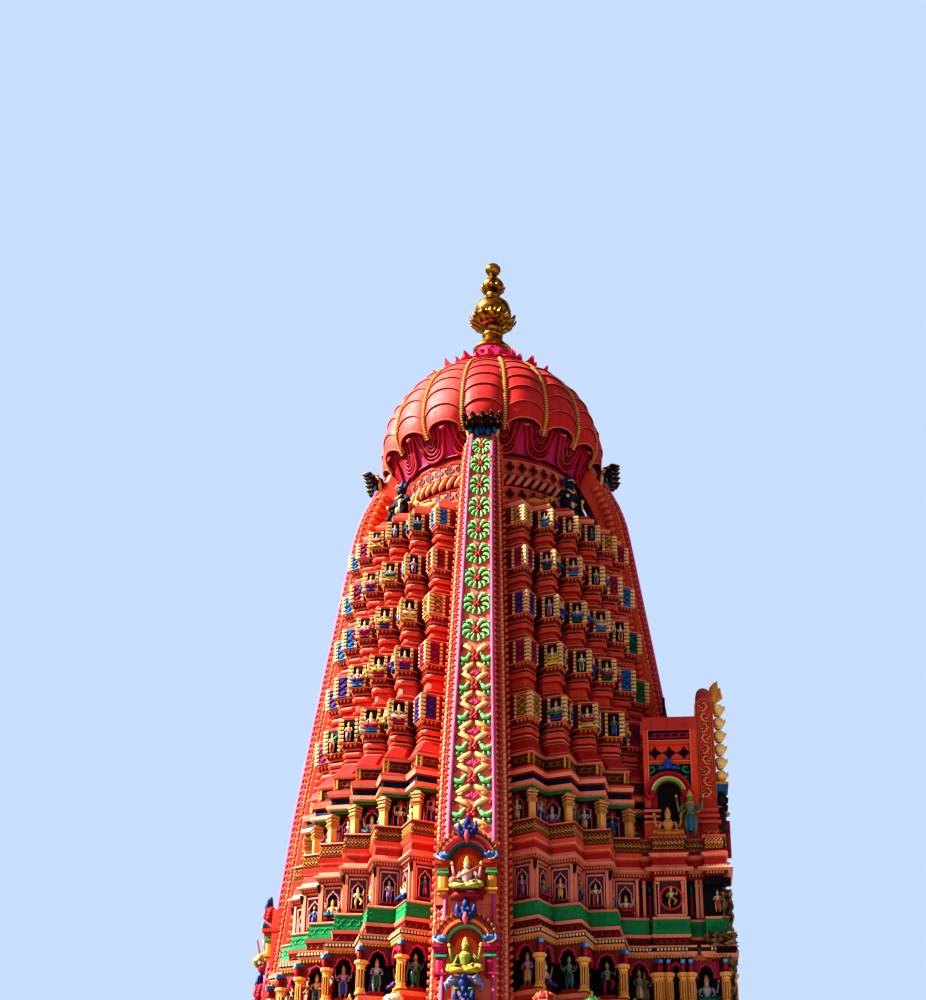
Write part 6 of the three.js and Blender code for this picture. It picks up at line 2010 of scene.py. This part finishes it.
# The window opening is a near-black board: painted shade in the opening.
opening = board([(0.23, 14.9)] + arch_line(0.23, WINDOW_SPRING, 0.23)[::-1] + [(-0.23, 14.9)], -0.03, 0.0)
upper_block.add(opening, BLACK_AND_HOLLOW_SHADE, flank)
upper_block.add(pair(block(0.23, 0.29, -0.06, 0.0, 15.1, WINDOW_SPRING)), paint(200, 44, 30), flank)
volute = limb([
    (0.41, -0.08, 16.06), (0.44, -0.1, 15.92), (0.38, -0.12, 15.83), (0.3, -0.12, 15.88),
    (0.31, -0.12, 15.97), (0.37, -0.12, 15.96)], (0.035, 0.05, 0.055, 0.05, 0.035, 0.02), 7)
upper_block.add(pair(volute), paint(214, 24, 70), flank, True)
crest = gathered(
    blob((0, -0.15, 16.5), (0.08, 0.06, 0.08), 8, 5),
    limb([(0, -0.15, 16.52), (0, -0.16, 16.6), (0, -0.14, 16.67)], (0.06, 0.05, 0.015), 6),
    pair(limb([(0.05, -0.14, 16.47), (0.14, -0.15, 16.44), (0.19, -0.14, 16.5)], (0.04, 0.04, 0.015), 6)))
upper_block.add(crest, paint(30, 96, 206), flank, True)
for low in (SILL, 15.41, 15.52):
    reach = (low - SILL) * 0.18
    upper_block.add(pair(block(0.2 - reach, 0.5, -0.13 - reach, 0.02, low, low + 0.05)), BLOCK_RIM, flank)
    upper_block.add(pair(block(0.22, 0.48, -0.11, 0.02, low + 0.05, low + 0.11)), DEEP_RED, flank)
place_figures(
    upper_block, shifted(flank, x=-0.04, y=-0.3, z=14.88), 0.98, paint(246, 176, 116), paint(244, 186, 70),
    "seated")
tall_figure = np.concatenate([shifted(flank[:1], x=0.4), shifted(flank[1:], x=-0.4)])
place_figures(
    upper_block, shifted(tall_figure, y=-0.32, z=14.9), 0.96, paint(128, 152, 110), paint(70, 140, 168),
    "four arms")
upper_block.make("porch_upper_block", painted_plaster, "orange_paint", "sukanasa_block")

# Block roof: a shallow sagging plaster roof between the tower and the gable, faded pink.

roof = Cast()
for slope, half in (
        (((3.22, 17.5), (3.5, 17.45), (3.8, 17.41), (4.1, 17.43), (4.33, 17.5)), 2.14),
        (((2.9, 17.5), (3.24, 17.5)), 1.6)):
    sections = [[(x, -half, 17.2), (x, -half, z), (x, half, z), (x, half, 17.2)] for x, z in slope]
    roof.add(stacked(sections[::-1]), paint(214, 104, 92))
roof.make("porch_roof", painted_plaster, "coral_paint", "sukanasa_roof")

# Front gable: two buttresses with rounded heads and moulded scrolls on their flanks, and a
# round slab between them that closes the porch in front.


def curled_at(z, side):
    """One curl of the scroll that runs up a buttress."""
    curl = gathered(limb([
        (0.1, -0.02, -0.12), (0.0, -0.03, -0.11), (-0.07, -0.03, -0.02), (-0.02, -0.035, 0.06),
        (0.05, -0.035, 0.04)], (0.012, 0.028, 0.034, 0.03, 0.012), 5),
        limb([(0.1, -0.02, -0.04), (0.05, -0.03, -0.05), (0.0, -0.03, -0.02)], (0.012, 0.024, 0.012), 5),
        limb([(0.11, -0.02, 0.06), (0.1, -0.03, 0.0), (0.05, -0.03, 0.01)], (0.01, 0.02, 0.01), 5))
    return shape_at(curl if side < 0 else mirrored(curl), 0.0, z)


GABLE_X, GABLE_SHOULDER, GABLE_RADIUS = (4.33, 4.69), 17.8, 1.23
HEAD_RADIUS, BUTTRESS_WIDE, SLAB_DEEP = 0.18, 0.98, 0.26
# GABLE_RED is brighter than the tower's red plaster: painted light, for the light that the gable face
# catches.
GABLE_RED = paint(255, 98, 60)


def gable_arc(radius, count=33):
    """The round head over the shoulders, from left to right."""
    return arch_line(radius, GABLE_SHOULDER, radius, count=count)


def round_headed(half, head):
    """An outline from the foot of the block up to a round head."""
    return [(half, BLOCK_FOOT)] + head[::-1] + [(-half, BLOCK_FOOT)]


gable = Cast()
gable_front = facing(0.0, GABLE_X[1])[None]
slab_outline = round_headed(GABLE_RADIUS, gable_arc(GABLE_RADIUS - 0.13))
gable.add(board(slab_outline, 0.0, SLAB_DEEP), GABLE_RED, gable_front)
roll = limb([(x, 0.12, z) for x, z in gable_arc(GABLE_RADIUS - 0.155, 25)[::-1]], 0.155, 12)
gable.add(roll, paint(222, 84, 84), gable_front, True)
gable.add(board(slab_outline, 0.0, 0.02), GABLE_RED, facing(pi, -GABLE_X[1] + SLAB_DEEP)[None])
for outer, wide, front, colour in ((1.0, 0.1, -0.04, OCHRE), (0.88, 0.09, -0.03, GREEN)):
    gable.add(strip(gable_arc(outer - wide), gable_arc(outer), front, 0.0), colour, gable_front)
NICHE = (15.1, 16.9)
gable.add(niche_board(0.55, *NICHE, 0.55, -0.02, 5, 0.1), BLACK_AND_HOLLOW_SHADE, gable_front)
gable.add(niche_frame(0.55, *NICHE, 0.55, 0.09, -0.07, 5, 0.1), MAGENTA, gable_front)
gable.add(niche_frame(0.64, *NICHE, 0.64, 0.07, -0.05, 5, 0.1), GREEN, gable_front)
niche_place = shifted(gable_front, y=-0.06, z=NICHE[0])
place_figures(gable, niche_place, 2.0, paint(236, 190, 120), paint(206, 40, 60), "four arms")
for side in (-1, 1):
    flank_place, back_place = (facing(way * pi / 2, 0.0)[None] for way in (side, -side))
    flank_place[0, :2, 3] = (sum(GABLE_X) / 2, side * BLOCK_HALF)
    back_place[0, :2, 3] = (sum(GABLE_X) / 2, side * (BLOCK_HALF - BUTTRESS_WIDE))
    outline = round_headed(HEAD_RADIUS, gable_arc(HEAD_RADIUS, 17))
    gable.add(board(outline, 0.0, BUTTRESS_WIDE), GABLE_RED, flank_place)
    gable.add(board(outline, 0.0, 0.02), GABLE_RED, back_place)
    for inset, thick, shade in ((0.012, 0.02, paint(236, 104, 66)), (0.055, 0.012, paint(240, 130, 84))):
        rim = HEAD_RADIUS - inset
        line = [(-rim, 15.84)] + gable_arc(rim, 13) + [(rim, 15.84)]
        gable.add(limb([(x, -0.02, z) for x, z in line], thick, 5), shade, flank_place)
    scroll = [curled_at(z, side if i % 2 else -side) for i, z in enumerate(np.arange(15.98, 17.9, 0.23))]
    # The flank scrolls are painted brighter in the same way: painted light.
    gable.add(gathered(*scroll), paint(255, 156, 108), flank_place, True)
    mouldings = [
        block(-0.26 + 0.02 * i, 0.24 - 0.02 * i, -0.09 + 0.02 * i, 0.05, 15.3 + 0.13 * i, 15.36 + 0.13 * i)
        for i in range(4)]
    gable.add(gathered(*mouldings), paint(232, 92, 60), flank_place)
    gable.add(block(-0.16, 0.18, -0.04, 0.03, BLOCK_FOOT, 15.8), paint(196, 60, 34), flank_place)
    hem(gable, [(shifted(flank_place, y=-0.05), 0.3)], scrolls(0.16, 0.016), OCHRE, 0.15, z=15.09)
gable.make("gable_front", painted_plaster, "orange_paint", "front_gable")

# Gable knobs: gilt water-pot knobs cast in plaster up both edges of the gable, each with a
# pointed tip turned out, on a bracket with a dark sea-beast head over turned columns.

KNOB_PITCH = 0.286
for knob_side, side in (("south", -1), ("north", 1)):
    strip_place = facing(0.0, GABLE_X[1])[None]
    strip_place = shifted(strip_place, x=side * (BLOCK_HALF - 0.1))
    knobs = Cast()
    for z in 16.34 + KNOB_PITCH * np.arange(6):
        body = gathered(
            blob((0, -0.11, z), (0.135, 0.12, 0.12), 14, 8),
            blob((0, -0.1, z - 0.11), (0.08, 0.08, 0.04), 10, 4),
            limb([(0, -0.18, z), (0, -0.235, z + 0.02), (0, -0.25, z + 0.08)], (0.055, 0.03, 0.006), 7))
        knobs.add(body, paint(255, 216, 132), strip_place, True)
    knobs.make(f"gable_knobs_gilt_{knob_side}", painted_plaster, "gilt_metal", f"gable_knobs_{knob_side}")
    bracket = Cast()
    bracket.add(slab(0.15, -0.24, 0.0, 16.12, 16.17), OCHRE, strip_place)
    bracket.add(slab(0.13, -0.22, 0.0, 15.98, 16.12), paint(30, 110, 160), strip_place)
    beast_head = gathered(
        blob((0, -0.09, 15.84), (0.13, 0.13, 0.13), 9, 6),
        limb([(0, -0.14, 15.86), (0, -0.2, 15.8), (0, -0.21, 15.88)], (0.07, 0.05, 0.02), 7),
        limb([(0, -0.12, 15.76), (0, -0.18, 15.68), (0, -0.18, 15.6)], (0.06, 0.04, 0.02), 7))
    bracket.add(beast_head, paint(26, 40, 34), strip_place, True)
    bracket.add(turned([
        (0.09, 14.9), (0.1, 14.96), (0.06, 15.02), (0.075, 15.3), (0.1, 15.4), (0.06, 15.48),
        (0.09, 15.66)], 9), paint(84, 20, 52), shifted(strip_place, y=-0.08), True)
    bracket.add(
        gathered(*[blob((0, -0.13, z), (0.07, 0.05, 0.08), 7, 5) for z in (15.5, 15.28, 15.06)]),
        paint(40, 76, 50), strip_place, True)
    bracket.make(f"gable_bracket_{knob_side}", painted_plaster, "ochre_paint")

gable_flame = Cast()
flame_place = facing(0.0, GABLE_X[1])[None]
gable_flame.add(blob((0, -0.08, 18.84), (0.13, 0.1, 0.08), 10, 5), paint(230, 150, 60), flame_place, True)
for x, tall, out in (
        (0.0, 0.5, -0.16), (-0.1, 0.42, -0.1), (0.1, 0.42, -0.1), (-0.18, 0.27, -0.06), (0.18, 0.27, -0.06),
        (0.0, 0.34, -0.22)):
    tongue = limb([
        (x * 0.6, -0.06, 18.8), (x * 1.1, out - 0.02, 18.8 + tall * 0.4),
        (x * 0.8, out, 18.8 + tall * 0.72), (x * 1.1, out - 0.05, 18.8 + tall)],
        (0.085, 0.09, 0.065, 0.008), 8)
    gable_flame.add(tongue, paint(244, 176, 84), flame_place, True)
gable_flame.make("gable_flame_knob", painted_plaster, "gilt_metal", "gable_flame")

# Roof rod: a black iron rod for a flag on the porch roof, let into the plaster.

iron, iron_tree, iron_shader = new_material("black iron")
iron_marks = add_node(iron_tree, "TexNoise", {"Scale": 30.0}).outputs[0]
iron_ramp = add_node(iron_tree, "ValToRGB", {0: iron_marks})
for stop, shade in zip(iron_ramp.color_ramp.elements, (paint(16, 16, 18), paint(70, 52, 42))):
    stop.color = (*shade, 1)
wire(iron_tree, iron_shader, {"Base Color": iron_ramp.outputs[0], "Metallic": 0.6, "Roughness": 0.55})
dress("roof_rod", iron)

# Guardians: at each diagonal of the shoulder a dark blue seated guardian between two lying
# bulls, modelled in plaster and painted.


def lying_bull(cast, place, colour):
    """A bull with folded legs, head to its own left."""
    body = gathered(
        blob((0.06, 0, 0.15), (0.27, 0.12, 0.13), 10, 6), blob((-0.14, 0, 0.24), (0.1, 0.08, 0.1), 8, 5),
        limb([(-0.16, 0, 0.24), (-0.26, -0.01, 0.33), (-0.33, -0.02, 0.36)], (0.085, 0.07, 0.055), 7),
        blob((-0.38, -0.02, 0.34), (0.075, 0.05, 0.05), 8, 5),
        limb([(-0.12, -0.1, 0.05), (-0.26, -0.12, 0.04), (-0.2, -0.14, 0.03)], (0.05, 0.04, 0.03), 6),
        limb([(0.2, -0.11, 0.05), (0.08, -0.14, 0.04), (0.16, -0.15, 0.03)], (0.06, 0.04, 0.03), 6),
        limb([(-0.33, -0.04, 0.39), (-0.32, -0.07, 0.45), (-0.35, -0.06, 0.49)], (0.018, 0.014, 0.005), 5),
        limb([(-0.33, 0.02, 0.39), (-0.32, 0.05, 0.45), (-0.35, 0.04, 0.49)], (0.018, 0.014, 0.005), 5))
    cast.add(body, colour, place, True)
    cast.add(gathered(
        blob((-0.2, -0.05, 0.24), (0.03, 0.06, 0.09), 6, 4), block(-0.02, 0.16, -0.11, 0.1, 0.24, 0.275)),
        paint(190, 60, 50), place)


GUARDIAN_SEAT = 22.44
for guardian_name, guardian_angle in (
        ("southeast", -45), ("northeast", 45), ("northwest", 135), ("southwest", -135)):
    group = Cast()
    seat_place = facing(radians(guardian_angle), 2.58, GUARDIAN_SEAT)[None]
    group.add(blob((0, 0, 0.05), (0.33, 0.22, 0.08), 12, 5), paint(24, 96, 60), seat_place, True)
    dark_blue = paint(20, 44, 66)
    body = gathered(pair(limb(
        [(0.08, 0, 0.14), (0.28, -0.12, 0.3), (0.2, -0.2, 0.1), (0.24, -0.24, 0.04)],
        (0.11, 0.085, 0.06, 0.04), 8)),
        pair(limb([(0.14, 0, 0.62), (0.29, -0.04, 0.48), (0.22, -0.2, 0.38)], (0.07, 0.06, 0.04), 7)),
        blob((0, 0, 0.2), (0.2, 0.15, 0.14), 9, 5), blob((0, -0.02, 0.46), (0.18, 0.13, 0.24), 9, 6),
        blob((0, -0.04, 0.8), (0.11, 0.11, 0.12), 9, 6))
    seat_place = sized(seat_place, 0.95)
    group.add(body, dark_blue, seat_place, True)
    group.add(gathered(
        blob((0, -0.13, 0.26), (0.07, 0.06, 0.1), 7, 4),
        pair(blob((0.23, -0.23, 0.39), (0.05, 0.04, 0.05), 6, 4)),
        limb([(-0.12, -0.1, 0.66), (0, -0.15, 0.58), (0.12, -0.1, 0.66)], (0.02, 0.028, 0.02), 6),
        limb([(-0.11, -0.12, 0.88), (0, -0.15, 0.92), (0.11, -0.12, 0.88)], (0.014, 0.022, 0.014), 6),
        limb([(0.22, -0.24, 0.05), (0.2, -0.23, 0.42)], 0.022, 6)), paint(226, 206, 150), seat_place, True)
    group.add(gathered(
        pair(limb([(0.06, 0.02, 0.85), (0.13, 0.0, 0.92), (0.1, 0.0, 1.0)], (0.06, 0.05, 0.015), 7)),
        limb([(0, 0, 0.88), (0, 0.0, 1.0), (0, 0, 1.1)], (0.08, 0.07, 0.02), 8)), paint(30, 70, 120),
        seat_place, True)
    for bull_side in (-1, 1):
        bull_place = facing(radians(guardian_angle) + bull_side * 0.27, 2.5, GUARDIAN_SEAT)[None]
        if bull_side < 0:
            bull_place[:, :, 0] *= -1
        lying_bull(group, bull_place, paint(226, 170, 76))
    group.make(f"guardian_group_{guardian_name}", painted_plaster, "blue_paint", f"guardian_{guardian_name}")

# Stage: a plain pale floor, soft daylight from the upper left and the photograph's viewpoint.

floor_mesh = bpy.data.meshes.new("floor")
floor_mesh.from_pydata([(-160, -160, 0), (160, -160, 0), (160, 160, 0), (-160, 160, 0)], [], [(0, 1, 2, 3)])
floor = bpy.data.objects.new("floor", floor_mesh)
bpy.context.scene.collection.objects.link(floor)
floor_paint, floor_tree, floor_shader = new_material("pale floor")
wire(floor_tree, floor_shader, {"Base Color": (0.27, 0.265, 0.26, 1), "Roughness": 0.9})
floor_mesh.materials.append(floor_paint)

sky = bpy.data.worlds.new("studio")
sky.use_nodes = True
sky_tree = sky.node_tree
backdrop = sky_tree.nodes["Background"]
wire(sky_tree, backdrop, {"Color": (0.5, 0.6, 0.78, 1), "Strength": 0.9})
fill = add_node(sky_tree, "Background", {"Color": (0.92, 0.76, 0.94, 1), "Strength": 0.25})
seen = add_node(sky_tree, "LightPath").outputs["Is Camera Ray"]
either = add_node(sky_tree, "MixShader", {0: seen, 1: fill.outputs[0], 2: backdrop.outputs[0]})
wire(sky_tree, sky_tree.nodes["World Output"], {0: either.outputs[0]})
bpy.context.scene.world = sky

sun = bpy.data.lights.new("key", "SUN")
sun.energy = 9.2
sun.angle = radians(2.5)
sun.color = (0.97, 0.96, 0.92)
sun_lamp = bpy.data.objects.new("key", sun)
bpy.context.scene.collection.objects.link(sun_lamp)
SUN_HEIGHT, SUN_BEARING = radians(40), radians(-166)
sun_from = (cos(SUN_HEIGHT) * cos(SUN_BEARING), cos(SUN_HEIGHT) * sin(SUN_BEARING), sin(SUN_HEIGHT))
sun_lamp.rotation_euler = (-Vector(sun_from)).to_track_quat("-Z", "Y").to_euler()

camera_data = bpy.data.cameras.new("camera")
camera_data.lens = 72.0
camera_data.sensor_width = 36.0
camera_data.clip_end = 500.0
camera = bpy.data.objects.new("camera", camera_data)
bpy.context.scene.collection.objects.link(camera)
EYE = (3.158, -39.88, 1.6)
CAMERA_ROLL = 0.0145
pitch = radians(29.19)
ahead = Vector((-0.0952 * cos(pitch), 0.9955 * cos(pitch), sin(pitch)))
turn = ahead.to_track_quat("-Z", "Y").to_matrix().to_4x4()
camera.matrix_world = Matrix.Translation(EYE) @ turn @ Matrix.Rotation(CAMERA_ROLL, 4, "Z")
bpy.context.scene.camera = camera
bpy.context.scene.view_settings.view_transform = "Standard"
bpy.context.scene.view_settings.look = "High Contrast"
